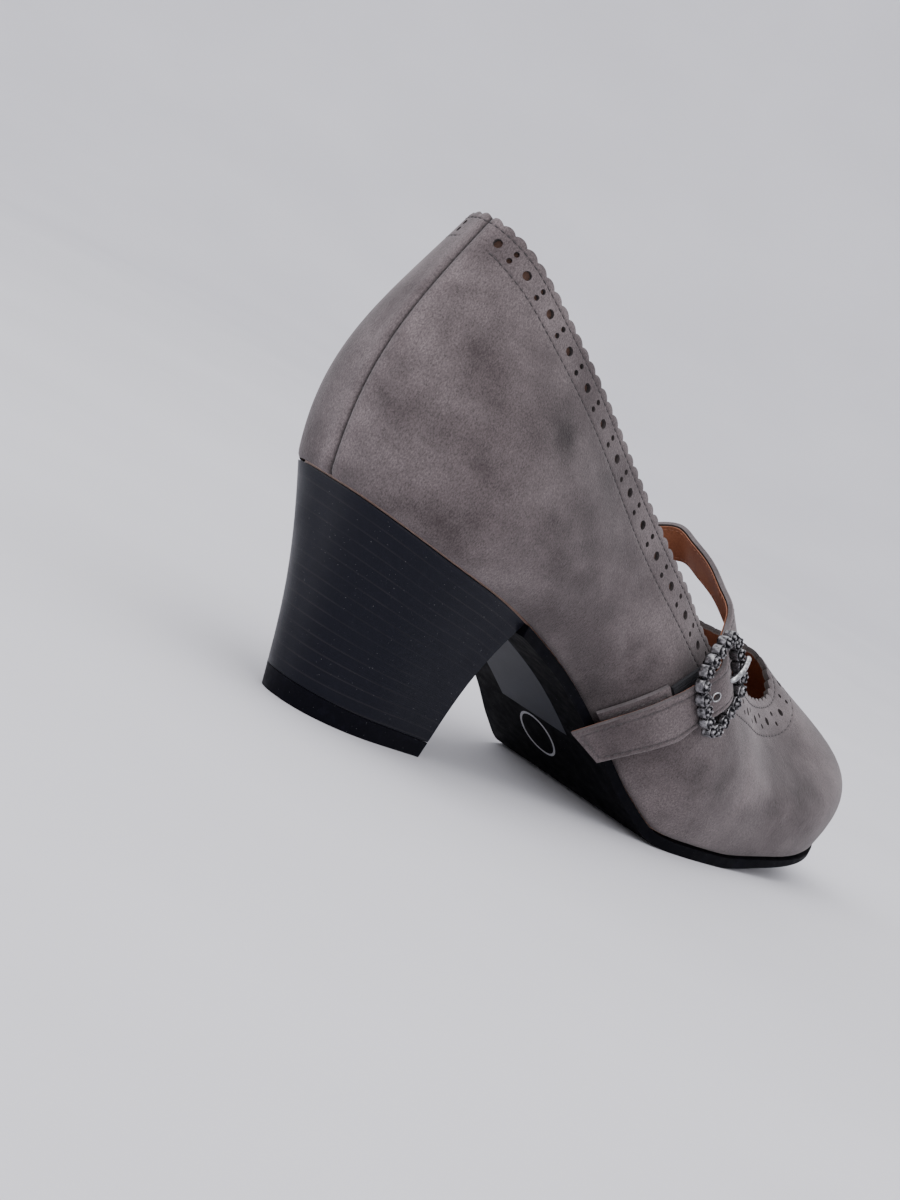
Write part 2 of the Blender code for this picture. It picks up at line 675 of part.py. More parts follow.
def make_prong(collection, silver):
    """From beside the bar up through the strap, then over it to rest on the rim."""
    centre, towards_arch, outward = buckle_frame_axes()
    radius = PRONG / 2
    beside_bar = BUCKLE_BAR / 2 + GAP + radius
    strap_face = STRAP_OVER_BAR - RIM_HEIGHT + STRAP_THICKNESS / 2
    over_rim = BUCKLE_RIM / 2 + GAP + radius
    route = (
        (beside_bar, -BUCKLE_BAR_DROP),
        (PRONG_HOLE_PLACE - radius * 0.4, 0.0),
        (PRONG_HOLE_PLACE, strap_face),
        (PRONG_HOLE_PLACE + radius * 2, over_rim),
        (RIM_REACH * 0.7, over_rim + GAP),
        (RIM_REACH, over_rim),
        (RIM_REACH + PRONG, over_rim - GAP),
    )
    flat = [centre + towards_arch * along + outward * height for along, height in route]
    path = [strap_plane_point(*point, 0.0) for point in open_curve(flat, PRONG_STEPS)]
    prong = tube("buckle_prong", path, radius, False, 2, collection)
    prong.data.materials.append(silver)
    return prong


def main():
    clear_scene()
    parts = new_collection("dirndl_pump")
    cutters = new_collection("cutters")
    finish = {name: material(name) for name in COLOURS}
    make_upper(parts, finish["suede"])
    shoe_plate("insole", None, -(UPPER_WALL + GAP), INSOLE_THICKNESS, insole_thickness,
               finish["insole_leather"], parts)
    shoe_plate("outsole", BACK_Y + BREAST_SHARE * LENGTH + GAP, SOLE_MARGIN, -GAP, outsole_thickness,
               finish["sole_black"], parts)
    top_piece_level = TOP_PIECE_HEIGHT / SEAT_HEIGHT
    heel_solid("heel_top_piece", 0.0, top_piece_level, 1, GAP, finish["sole_black"], parts)
    heel_solid("heel_block", top_piece_level, 1.0, HEEL_LEVELS, 0.0, finish["heel_black"], parts)
    make_strap(parts, cutters, finish["suede"])
    make_tab(parts, finish["suede"])
    make_elastic(parts, finish["elastic_black"])
    make_buckle_frame(parts, cutters, finish["old_silver"])
    make_prong(parts, finish["old_silver"])


main()
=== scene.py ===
"""Looks of the dirndl pump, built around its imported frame.

Metres, +Z up, toe towards +Y, outer side of the foot towards +X, heel standing at the origin.
Every form follows the same last as the frame: a place on the upper is a run along the topline,
from the back seam round the outer side, and a depth below it.
"""

import math

import bmesh
import bpy
import numpy as np
from mathutils import Matrix
from mathutils.geometry import delaunay_2d_cdt


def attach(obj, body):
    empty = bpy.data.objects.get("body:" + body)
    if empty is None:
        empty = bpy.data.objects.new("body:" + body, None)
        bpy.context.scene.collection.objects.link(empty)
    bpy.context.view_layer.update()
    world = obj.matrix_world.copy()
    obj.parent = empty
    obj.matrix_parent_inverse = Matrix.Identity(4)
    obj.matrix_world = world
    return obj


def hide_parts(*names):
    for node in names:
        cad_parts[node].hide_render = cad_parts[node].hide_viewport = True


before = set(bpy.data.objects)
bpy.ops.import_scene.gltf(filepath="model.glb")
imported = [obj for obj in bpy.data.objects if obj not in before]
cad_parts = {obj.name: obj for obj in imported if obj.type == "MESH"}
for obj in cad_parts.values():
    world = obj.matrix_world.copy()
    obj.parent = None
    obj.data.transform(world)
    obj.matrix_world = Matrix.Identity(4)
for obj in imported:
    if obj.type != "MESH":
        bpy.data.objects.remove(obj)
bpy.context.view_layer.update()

MM = 0.001

# The last, as in the frame
LENGTH = 0.246
BALL_WIDTH = 0.074
SEAT_HEIGHT = 0.057
BACK_HEIGHT = 0.080
UPPER_WALL = 0.0018
SOLE_THICKNESS = 0.0035
SOLE_MARGIN = 0.0008
INSOLE_THICKNESS = 0.0025
HEEL_RAKE = 0.021
BREAST_SHARE = 0.235
HEEL_FLOOR_LENGTH = 0.039
HEEL_FLOOR_WIDTH = 0.034
TOP_PIECE_HEIGHT = 0.006
HEEL_INSET = 0.0005
HEEL_HOLLOW = 0.0016
HEEL_ROUND_SHARE = 0.62
HEEL_ROUND_POWER = 2.3
STRAP_WIDTH = 0.013
STRAP_THICKNESS = 0.0020
STRAP_TILT = math.radians(42)
STRAP_CROSSING = 0.435
STRAP_HIDDEN = 0.014
HIDDEN_SHARES = (1.0, 0.6, 0.2)
STRAP_TAIL_PAST_FEATHER = 0.006
STRAP_LEAVES_WALL = 0.006
STRAP_END_SLANT = 0.2
STRAP_CROWN = 0.021
TAB_WIDTH = 0.014
TAB_THICKNESS = 0.0016
TAB_BACK_SHIFT = 0.0012
TAB_LENGTH = 0.019
ELASTIC_WIDTH = 0.012
ELASTIC_THICKNESS = 0.0010
BUCKLE_LENGTH = 0.025
BUCKLE_WIDTH = 0.0245
BUCKLE_RIM = 0.0032
BUCKLE_BAR = 0.0018
BUCKLE_BAR_DROP = 0.0012
BUCKLE_FROM_FEATHER = 0.032
RIM_SQUARENESS = 0.5
PRONG = 0.0017
PRONG_HOLE_PLACE = 0.0027
GAP = 0.00035
LAID_GAP = 0.0006
RIM_SLACK = 0.0010

SECTION_COLUMNS = ("foot_y", "foot_x", "edge_y", "edge_x", "rise", "foot_out", "foot_up", "edge_out", "edge_up")
SECTIONS = {
    "back": (0.010, 0.00, 0.050, 0.00, 0.95, 0.10, 0.38, 0.14, 0.35),
    "back_outer": (0.022, 0.20, 0.072, 0.165, 0.925, 0.10, 0.36, 0.12, 0.35),
    "heel_outer": (0.092, 0.38, 0.130, 0.245, 0.85, 0.11, 0.33, 0.11, 0.33),
    "seat_outer": (0.200, 0.42, 0.220, 0.31, 0.73, 0.14, 0.29, 0.10, 0.30),
    "waist_outer": (0.330, 0.39, 0.335, 0.35, 0.62, 0.11, 0.26, 0.07, 0.26),
    "arch_outer": (0.460, 0.38, 0.445, 0.37, 0.595, 0.12, 0.24, 0.10, 0.20),
    "ball_outer": (0.600, 0.46, 0.585, 0.35, 0.60, 0.13, 0.25, 0.17, 0.20),
    "toe_outer": (0.740, 0.44, 0.715, 0.20, 0.525, 0.07, 0.27, 0.22, 0.25),
    "tip_outer": (0.890, 0.35, 0.798, 0.07, 0.50, 0.075, 0.29, 0.33, 0.26),
    "tip": (0.995, 0.02, 0.829, -0.055, 0.555, 0.10, 0.33, 0.44, 0.17),
    "tip_inner": (0.950, -0.32, 0.818, -0.160, 0.61, 0.09, 0.33, 0.44, 0.12),
    "toe_inner": (0.800, -0.46, 0.730, -0.255, 0.66, 0.08, 0.28, 0.35, 0.11),
    "ball_inner": (0.675, -0.50, 0.590, -0.33, 0.72, 0.10, 0.26, 0.20, 0.15),
    "arch_inner": (0.512, -0.35, 0.450, -0.36, 0.68, 0.12, 0.26, 0.10, 0.20),
    "waist_inner": (0.362, -0.31, 0.325, -0.37, 0.70, 0.12, 0.26, 0.07, 0.26),
    "seat_inner": (0.210, -0.39, 0.203, -0.35, 0.79, 0.12, 0.30, 0.10, 0.30),
    "heel_inner": (0.085, -0.34, 0.125, -0.255, 0.89, 0.13, 0.32, 0.12, 0.33),
    "back_inner": (0.020, -0.20, 0.070, -0.165, 0.935, 0.09, 0.37, 0.13, 0.35),
}

PROFILE = {
    "seat_back": (0.00, 1.00),
    "seat_middle": (0.10, 0.90),
    "seat_front": (0.20, 0.81),
    "breast": (0.28, 0.70),
    "waist_top": (0.36, 0.56),
    "waist": (0.45, 0.34),
    "waist_foot": (0.52, 0.13),
    "tread_start": (0.58, 0.01),
    "tread_flat": (0.61, 0.00),
    "tread_end": (0.70, 0.00),
    "spring_start": (0.80, 0.05),
    "spring": (0.90, 0.11),
    "toe": (1.00, 0.20),
}

ARCH = {
    "leaving_edge": (-0.020, 0.46),
    "inner_turn": (-0.005, 0.74),
    "shoulder": (0.11, 0.99),
    "crown": (0.28, 0.93),
    "middle": (0.47, 0.82),
    "outer": (0.66, 0.63),
    "over_edge": (0.84, 0.42),
}

SOLE_TAPER = {
    "waist": (0.60, 1.00),
    "tread_end": (0.71, 1.00),
    "spring_start": (0.80, 0.80),
    "spring": (0.90, 0.50),
    "toe": (1.00, 0.36),
}

# The upper's edge: scallops, two rows of stitches and the punched pattern between them.
# Depths are measured down from the topline.
SCALLOP_PITCH = 4.3 * MM
SCALLOP_DEPTH = 1.05 * MM
SCALLOP_PROUD = 0.35 * MM
EDGE_ROW = 2.5 * MM
LOWER_ROW = 11.0 * MM
BAND_DEPTH = 13.2 * MM
HOLE_STEP = 5.65 * MM
HOLE_START_OUTER = 6.6 * MM
HOLE_START_INNER = 8.4 * MM
BIG_HOLE = 1.25 * MM
BIG_HOLE_DEPTH = 6.6 * MM
SMALL_HOLE = 0.75 * MM
SMALL_HOLE_DEPTHS = (4.9 * MM, 8.1 * MM)
LOWER_ROW_FROM_SEAM = 5.0 * MM
SUEDE = 1.1 * MM
LINING_GAP = 0.05 * MM

# Sewing
STITCH_PITCH = 2.1 * MM
STITCH_LENGTH = 1.5 * MM
STITCH_WIDTH = 0.36 * MM
GROOVE = 0.14 * MM
GROOVE_WIDTH = 0.34 * MM

# Camera and light
CAMERA_AZIMUTH = 40.54
CAMERA_ELEVATION = 5.52
CAMERA_ROLL = 27.48
CAMERA_DISTANCE = 0.81319
CAMERA_TARGET = (0.0, 0.060, 0.040)
TARGET_PIXEL = (543.84, 629.31)
FOCAL_PIXELS = 3036.59
PHOTO_SIZE = (900, 1200)

FINE = 480
FINE_UP = 24
FINE_ENDS = 8
TAIL_STEPS = 4
DENSE = 1920
DENSE_UP = 48

BACK_Y = -(HEEL_FLOOR_LENGTH / 2 + HEEL_RAKE)
STRAP_ALONG = np.array([0.0, math.cos(STRAP_TILT), -math.sin(STRAP_TILT)])
STRAP_UP = np.array([0.0, math.sin(STRAP_TILT), math.cos(STRAP_TILT)])


# Curves and the last's surface

def closed_spline(rows, count):
    """Samples a closed cubic spline through rows, with even steps from row to row."""
    rows = np.asarray(rows)
    size = len(rows)
    system = 4 * np.eye(size) + np.roll(np.eye(size), 1, 1) + np.roll(np.eye(size), -1, 1)
    slopes = np.linalg.solve(system, 3 * (np.roll(rows, -1, 0) - np.roll(rows, 1, 0)))
    place = np.arange(count) * size / count
    start = place.astype(int)
    end = (start + 1) % size
    share = (place - start)[:, None]
    return (
        (2 * share**3 - 3 * share**2 + 1) * rows[start]
        + (share**3 - 2 * share**2 + share) * slopes[start]
        + (3 * share**2 - 2 * share**3) * rows[end]
        + (share**3 - share**2) * slopes[end]
    )


def steady_curve(x, xs, ys):
    """A cubic through a table that never overshoots its rows."""
    steps = np.diff(xs)
    rises = np.diff(ys) / steps
    slopes = np.zeros(len(xs))
    for i in range(1, len(xs) - 1):
        if rises[i - 1] * rises[i] > 0:
            before = 2 * steps[i] + steps[i - 1]
            after = steps[i] + 2 * steps[i - 1]
            slopes[i] = (before + after) / (before / rises[i - 1] + after / rises[i])
    slopes[0] = rises[0]
    slopes[-1] = rises[-1]
    x = np.clip(x, xs[0], xs[-1])
    i = np.clip(np.searchsorted(xs, x, side="right") - 1, 0, len(xs) - 2)
    share = (x - xs[i]) / steps[i]
    return (
        (2 * share**3 - 3 * share**2 + 1) * ys[i]
        + (share**3 - 2 * share**2 + share) * slopes[i] * steps[i]
        + (3 * share**2 - 2 * share**3) * ys[i + 1]
        + (share**3 - share**2) * slopes[i + 1] * steps[i]
    )


def open_curve(points, count):
    """Samples a smooth curve through points, evenly along its length."""
    points = np.asarray(points, float)
    padded = np.vstack([2 * points[0] - points[1], points, 2 * points[-1] - points[-2]])
    dense = []
    for i in range(1, len(padded) - 2):
        before, start, end, after = padded[i - 1:i + 3]
        for share in np.linspace(0, 1, 24, endpoint=False):
            dense.append(0.5 * (
                2 * start
                + (end - before) * share
                + (2 * before - 5 * start + 4 * end - after) * share**2
                + (3 * start - before - 3 * end + after) * share**3
            ))
    dense.append(points[-1])
    dense = np.array(dense)
    run = np.concatenate([[0], np.cumsum(np.linalg.norm(np.diff(dense, axis=0), axis=1))])
    wanted = np.linspace(0, run[-1], count)
    return np.stack([np.interp(wanted, run, dense[:, k]) for k in range(points.shape[1])], 1)


def sole_top(y):
    """Height of the feather line over the floor at a place along the shoe."""
    table = np.array(list(PROFILE.values()))
    share = steady_curve((np.asarray(y) - BACK_Y) / LENGTH, table[:, 0], table[:, 1])
    return share * (SEAT_HEIGHT - SOLE_THICKNESS) + SOLE_THICKNESS


def rib_controls(around):
    """The four control points of each section of the upper, from feather to topline."""
    rows = closed_spline(list(SECTIONS.values()), around)
    value = {name: rows[:, k] for k, name in enumerate(SECTION_COLUMNS)}
    foot_y = value["foot_y"] * LENGTH + BACK_Y
    edge_y = value["edge_y"] * LENGTH + BACK_Y
    foot = np.stack([value["foot_x"] * BALL_WIDTH, foot_y, sole_top(foot_y)], 1)
    edge_z = sole_top(edge_y) + value["rise"] * BACK_HEIGHT
    edge = np.stack([value["edge_x"] * BALL_WIDTH, edge_y, edge_z], 1)
    run = np.roll(foot, -1, 0) - np.roll(foot, 1, 0)
    out = np.stack([run[:, 1], -run[:, 0], 0 * run[:, 0]], 1)
    out /= np.linalg.norm(out, axis=1)[:, None]
    rise = np.array([0, 0, BACK_HEIGHT])
    low = foot + out * value["foot_out"][:, None] * BACK_HEIGHT + value["foot_up"][:, None] * rise
    high = edge + out * value["edge_out"][:, None] * BACK_HEIGHT - value["edge_up"][:, None] * rise
    return np.stack([foot, low, high, edge], 1)


def on_ribs(controls, share):
    """Points on ribs at a share from feather, 0, to topline, 1."""
    share = share[..., None]
    return (
        (1 - share)**3 * controls[..., 0, :]
        + 3 * share * (1 - share)**2 * controls[..., 1, :]
        + 3 * share**2 * (1 - share) * controls[..., 2, :]
        + share**3 * controls[..., 3, :]
    )


def upper_surface(around, up):
    """A grid over the upper's outer face, one row for each step around."""
    controls = rib_controls(around)[:, None]
    return on_ribs(controls, np.broadcast_to(np.linspace(0, 1, up + 1), (around, up + 1)))


FINE_UPPER = upper_surface(FINE, FINE_UP)
STRAP_FOOT_Y = BACK_Y + STRAP_CROSSING * LENGTH
STRAP_PLACE = STRAP_ALONG[1] * STRAP_FOOT_Y + STRAP_ALONG[2] * float(sole_top(STRAP_FOOT_Y))

# Distance from the back seam and the punched band's width there, share of its width at the throat
BAND_NARROW = np.array([(0.0, 0.74), (20 * MM, 0.75), (60 * MM, 0.82), (110 * MM, 0.90), (160 * MM, 1.0)])

# Over what depth a section's lean is taken, how many sections it is evened over on each side, and
# how far from the back seam it fades out.
SLANT_REACH = 7.0 * MM
SLANT_SOFT = 24
SEAM_REACH = 7.0 * MM

DENSE_CONTROLS = rib_controls(DENSE)
DENSE_UPPER = upper_surface(DENSE, DENSE_UP)[:, ::-1]
EDGE_STEPS = np.linalg.norm(np.roll(DENSE_UPPER[:, 0], -1, 0) - DENSE_UPPER[:, 0], axis=1)
EDGE_RUN = np.concatenate([[0], np.cumsum(EDGE_STEPS)])
TOPLINE = EDGE_RUN[-1]
RIB_STEPS = np.linalg.norm(np.diff(DENSE_UPPER, axis=1), axis=2)
RIB_DEPTH = np.concatenate([np.zeros((DENSE, 1)), np.cumsum(RIB_STEPS, axis=1)], axis=1)


def bell(distance, width):
    return np.exp(-(distance / width)**2)


def from_seam(run):
    """Distance along the topline from the back seam."""
    run = np.mod(run, TOPLINE)
    return np.minimum(run, TOPLINE - run)


def rib_slants():
    """How far each section leans along the topline, and how much longer it is for that."""
    along = np.roll(DENSE_UPPER[:, 0], -1, 0) - np.roll(DENSE_UPPER[:, 0], 1, 0)
    along /= np.linalg.norm(along, axis=1)[:, None]
    down = DENSE_UPPER[np.arange(DENSE), (RIB_DEPTH < SLANT_REACH).sum(1)] - DENSE_UPPER[:, 0]
    down /= np.linalg.norm(down, axis=1)[:, None]
    lean = (down * along).sum(1) / np.linalg.norm(np.cross(down, along), axis=1)
    window = bell(np.arange(-SLANT_SOFT, SLANT_SOFT + 1), SLANT_SOFT / 2)
    padded = np.concatenate([lean[-SLANT_SOFT:], lean, lean[:SLANT_SOFT]])
    lean = np.convolve(padded, window / window.sum(), "valid")
    lean *= 1 - bell(from_seam(EDGE_RUN[:-1]), SEAM_REACH)
    return np.append(lean, lean[0])


RIB_LEAN = rib_slants()


def band_scale(run):
    """Width of the punched band, share of its width at the throat; it is narrower at the back."""
    return np.interp(from_seam(run), BAND_NARROW[:, 0], BAND_NARROW[:, 1])


def rib_place(run, depth):
    """The section and the depth along it for a place at a run along the topline.

    The depth is square to the topline down to the band's border, and follows the section below.
    """
    lean = np.interp(np.mod(run, TOPLINE), EDGE_RUN, RIB_LEAN)
    square = np.minimum(depth, BAND_DEPTH)
    down = square * band_scale(run)
    return run - down * lean, depth - square + down * np.sqrt(1 + lean**2)


def full_depth(run):
    """Depth of the feather line below the topline."""
    rib, down = rib_place(run, BAND_DEPTH)
    place = np.interp(np.mod(rib, TOPLINE), EDGE_RUN, np.arange(DENSE + 1))
    foot = np.interp(place, np.arange(DENSE + 1), np.append(RIB_DEPTH[:, -1], RIB_DEPTH[0, -1]))
    return BAND_DEPTH + foot - down


def bare_upper(run, depth):
    """Points of the upper's outer face at runs along the topline and depths below it."""
    run, depth = rib_place(run, depth)
    place = np.interp(np.mod(run, TOPLINE), EDGE_RUN, np.arange(DENSE + 1))
    left = place.astype(int) % DENSE
    right = (left + 1) % DENSE
    mix = (place - np.floor(place))[:, None]
    depths = RIB_DEPTH[left] * (1 - mix) + RIB_DEPTH[right] * mix
    step = np.clip((depths <= depth[:, None]).sum(1) - 1, 0, DENSE_UP - 1)
    index = np.arange(len(run))
    low, high = depths[index, step], depths[index, step + 1]
    share = 1 - (step + (depth - low) / (high - low)) / DENSE_UP
    controls = DENSE_CONTROLS[left] * (1 - mix[..., None]) + DENSE_CONTROLS[right] * mix[..., None]
    return on_ribs(controls, share)


def upper_normal(run, depth):
    """Outward directions of the upper's outer face."""
    reach = 0.3 * MM
    along = bare_upper(run + reach, depth) - bare_upper(run - reach, depth)
    down = bare_upper(run, depth + reach) - bare_upper(run, depth - reach)
    normal = np.cross(down, along)
    return normal / np.linalg.norm(normal, axis=1)[:, None]


def on_upper(run, depth, lift):
    """Points that stand off the upper's outer face by a lift."""
    run = np.asarray(run, float)
    depth = np.broadcast_to(np.asarray(depth, float), run.shape)
    lift = np.broadcast_to(np.asarray(lift, float), run.shape)
    return bare_upper(run, depth) + upper_normal(run, depth) * lift[:, None]


def feather_sides(y, margin):
    """Inner and outer x of the feather line at a place along the shoe, moved out by a margin."""
    line = FINE_UPPER[:, 0]
    run = np.roll(line, -1, 0) - np.roll(line, 1, 0)
    out = np.stack([run[:, 1], -run[:, 0]], 1)
    out /= np.linalg.norm(out, axis=1)[:, None]
    line = line[:, :2] + out * margin
    back = int(np.argmin(line[:, 1]))
    line = np.roll(line, -back, 0)
    toe = int(np.argmax(line[:, 1]))
    outer = line[:toe + 1]
    inner = np.vstack([line[toe:], line[:1]])[::-1]
    outer_x = np.interp(y, np.maximum.accumulate(outer[:, 1]), outer[:, 0])
    inner_x = np.interp(y, np.maximum.accumulate(inner[:, 1]), inner[:, 0])
    return inner_x, outer_x, outer[0, 1], outer[-1, 1]


# The strap's route, in planes across it

def side_profile(offset, side):
    """The upper's outer face where a plane across the strap cuts one side of it.

    Rows of (x, height along the strap's plane), from feather to topline.
    """
    place = FINE_UPPER @ STRAP_ALONG - (STRAP_PLACE + offset)
    found = []
    half = FINE // 2
    if side == 1:
        columns = range(FINE_ENDS, half - FINE_ENDS)
    else:
        columns = range(FINE - FINE_ENDS, half + FINE_ENDS, -1)
    step = 1 if side == 1 else -1
    for k in range(FINE_UP + 1):
        for i in columns:
            here = place[i, k]
            there = place[i + step, k]
            if here <= 0 < there:
                share = -here / (there - here)
                point = FINE_UPPER[i, k] * (1 - share) + FINE_UPPER[i + step, k] * share
                found.append((point[0], point @ STRAP_UP))
                break
    return np.array(found)


def beside(profile, height, stand_off):
    """A point square off the upper's outer face at a height of the strap's plane."""
    x = np.interp(height, profile[:, 1], profile[:, 0])
    lean = np.interp(height, profile[:, 1], np.gradient(profile[:, 0], profile[:, 1]))
    square = np.array([1.0, -lean]) * np.sign(profile[0, 0]) / math.hypot(1.0, lean)
    return np.array([x, height]) + square * stand_off


LAID_TAB = LAID_GAP + TAB_THICKNESS / 2
LAID_STRAP = LAID_GAP + TAB_THICKNESS + LAID_GAP + STRAP_THICKNESS / 2
RIM_HEIGHT = LAID_STRAP + STRAP_THICKNESS / 2 + RIM_SLACK + BUCKLE_RIM / 2
BAR_HEIGHT = RIM_HEIGHT - BUCKLE_BAR_DROP
STRAP_OVER_BAR = BAR_HEIGHT + BUCKLE_BAR / 2 + GAP + STRAP_THICKNESS / 2
RIM_REACH = (BUCKLE_LENGTH - BUCKLE_RIM) / 2


def buckle_frame_axes():
    """Centre of the buckle's rim plane and its two directions in the strap's plane."""
    profiles = [side_profile(offset, 1) for offset in (-STRAP_WIDTH / 2, 0.0, STRAP_WIDTH / 2)]
    middle = profiles[1][0, 1] + BUCKLE_FROM_FEATHER
    ends = []
    for height in (middle - RIM_REACH, middle + RIM_REACH):
        ends.append(max((beside(profile, height, RIM_HEIGHT) for profile in profiles), key=lambda end: end[0]))
    low, high = ends
    towards_arch = (high - low) / np.linalg.norm(high - low)
    outward = np.array([towards_arch[1], -towards_arch[0]])
    return (low + high) / 2, towards_arch, outward


BUCKLE_CENTRE, TOWARDS_ARCH, BUCKLE_OUTWARD = buckle_frame_axes()


def strap_edge(offset):
    """Middle line of one edge of the strap, in its own plane: hidden end, arch, buckle, tail."""
    outer = side_profile(offset, 1)
    inner = side_profile(offset, -1)
    under_rim = STRAP_THICKNESS / 2 + RIM_SLACK + BUCKLE_RIM / 2
    over_bar = STRAP_OVER_BAR - RIM_HEIGHT
    arch_rim = BUCKLE_CENTRE + TOWARDS_ARCH * RIM_REACH - BUCKLE_OUTWARD * under_rim
    tail_rim = BUCKLE_CENTRE - TOWARDS_ARCH * RIM_REACH - BUCKLE_OUTWARD * under_rim
    on_bar = BUCKLE_CENTRE + BUCKLE_OUTWARD * over_bar
    inside = UPPER_WALL + LAID_GAP + STRAP_THICKNESS / 2
    edge = inner[-1, 1]
    hidden = [beside(inner, edge - STRAP_HIDDEN * share, -inside) for share in HIDDEN_SHARES]
    leaving = beside(inner, edge, -inside)
    middle = side_profile(0.0, -1)
    arch_start = beside(middle, middle[-1, 1], -inside)
    line = arch_rim - arch_start
    across = np.array([-line[1], line[0]]) / np.linalg.norm(line)
    arch = [arch_start + line * along + across * height * STRAP_CROWN for along, height in ARCH.values()]
    feather = outer[0, 1]
    last_on_wall = tail_rim[1] - RIM_REACH / 2
    off_wall = feather + STRAP_LEAVES_WALL
    heights = np.linspace(last_on_wall, off_wall, TAIL_STEPS)
    tail = [beside(outer, height, LAID_STRAP) for height in heights]
    straight_on = (tail[-1] - tail[-2]) / np.linalg.norm(tail[-1] - tail[-2])
    end = tail[-1] + straight_on * (STRAP_LEAVES_WALL + STRAP_TAIL_PAST_FEATHER - STRAP_END_SLANT * offset)
    return hidden + [leaving] + arch + [arch_rim, on_bar, tail_rim] + tail + [end]


def in_strap_planes(flat, offset):
    """Points of the model from (x, height) rows and their offsets from the strap's middle."""
    offset = np.broadcast_to(np.asarray(offset, float), flat.shape[:1])
    return (
        flat[:, :1] * np.array([1.0, 0, 0])
        + flat[:, 1:] * STRAP_UP
        + (STRAP_PLACE + offset)[:, None] * STRAP_ALONG
    )


class Band:
    """A bent band: places on it are a run along its middle and a place across it."""

    def __init__(self, lines, offsets):
        self.lines = np.array(lines)
        self.offsets = np.array(offsets)
        steps = np.linalg.norm(np.diff(self.lines[1], axis=0), axis=1)
        self.runs = np.concatenate([[0], np.cumsum(steps)])
        self.length = self.runs[-1]

    def line(self, run, across):
        """Rows of (x, height) and the offsets that go with them."""
        half = (self.offsets[2] - self.offsets[0]) / 2
        side = across / half
        weights = (side * (side - 1) / 2, 1 - side**2, side * (side + 1) / 2)
        flat = 0
        for weight, line in zip(weights, self.lines):
            sampled = np.stack([np.interp(run, self.runs, line[:, k]) for k in (0, 1)], 1)
            flat = flat + weight[:, None] * sampled
        return flat, self.offsets[1] + across

    def __call__(self, run, across, lift):
        run = np.clip(np.asarray(run, float), 0, self.length)
        across = np.broadcast_to(np.asarray(across, float), run.shape)
        lift = np.broadcast_to(np.asarray(lift, float), run.shape)
        reach = 0.5 * MM
        before, _ = self.line(np.maximum(run - reach, 0), across)
        after, _ = self.line(np.minimum(run + reach, self.length), across)
        tangent = after - before
        tangent /= np.linalg.norm(tangent, axis=1)[:, None]
        normal = np.stack([-tangent[:, 1], tangent[:, 0]], 1)
        flat, offset = self.line(run, across)
        return in_strap_planes(flat + normal * lift[:, None], offset)

    def run_near(self, point):
        """Run along the middle that lies nearest a point of the strap's plane."""
        return self.runs[int(np.argmin(np.linalg.norm(self.lines[1] - point, axis=1)))]


# Meshes

def make_mesh(name, points, faces, finishes, finish_of=None, values=None, sharp=50):
    """An object from points and faces, with named values on its points for its finish."""
    mesh = bpy.data.meshes.new(name)
    mesh.from_pydata(np.asarray(points, float).tolist(), [], faces)
    for finish in finishes:
        mesh.materials.append(finish)
    if finish_of is not None:
        mesh.polygons.foreach_set("material_index", np.asarray(finish_of, np.int32))
    for key, numbers in (values or {}).items():
        attribute = mesh.attributes.new(key, "FLOAT", "POINT")
        attribute.data.foreach_set("value", np.asarray(numbers, np.float32))
    mesh.shade_smooth()
    mesh.set_sharp_from_angle(angle=math.radians(sharp))
    made = bpy.data.objects.new(name, mesh)
    bpy.context.scene.collection.objects.link(made)
    return made


def turn_out(piece):
    """Turns a closed piece's faces outward."""
    edit = bmesh.new()
    edit.from_mesh(piece.data)
    bmesh.ops.recalc_face_normals(edit, faces=edit.faces)
    edit.to_mesh(piece.data)
    edit.free()


def triangulate(points, loops, keep):
    """Triangles between points, whose loops stay whole; keep says which centres belong."""
    rows = [tuple(point / MM) for point in points]
    start = 0
    edges = []
    for size, closed in loops:
        edges += [(start + i, start + i + 1) for i in range(size - 1)]
        if closed:
            edges.append((start + size - 1, start))
        start += size
    made = delaunay_2d_cdt(rows, edges, [], 0, 0.0001)
    flat = np.array([tuple(point) for point in made[0]]) * MM
    faces = np.array([face for face in made[2] if len(face) == 3])
    centres = flat[faces].mean(1)
    a, b, c = flat[faces[:, 0]], flat[faces[:, 1]], flat[faces[:, 2]]
    area = (b[:, 0] - a[:, 0]) * (c[:, 1] - a[:, 1]) - (b[:, 1] - a[:, 1]) * (c[:, 0] - a[:, 0])
    faces[area < 0] = faces[area < 0][:, ::-1]
    kept = keep(centres) & (np.abs(area) > (0.01 * MM)**2)
    return flat, faces[kept].tolist()


def wall_between(name, outer, inner, faces, finishes, values=None, sharp=50):
    """A closed wall from two layers of the same flat mesh, joined round every border.

    Finishes are for the outer face, the inner face and the cut edge.
    """
    count = len(outer)
    faces = [list(face) for face in faces]
    directed = set()
    for face in faces:
        directed.update(zip(face, face[1:] + face[:1]))
    rim = [(a, b) for a, b in directed if (b, a) not in directed]
    rim.sort()
    everything = faces + [[corner + count for corner in reversed(face)] for face in faces]
    everything += [[b, a, a + count, b + count] for a, b in rim]
    finish_of = [0] * len(faces) + [1] * len(faces) + [2] * len(rim)
    both = {key: np.concatenate([numbers, numbers]) for key, numbers in (values or {}).items()}
    points = np.concatenate([outer, inner])
    return make_mesh(name, points, everything, finishes, finish_of, both, sharp)


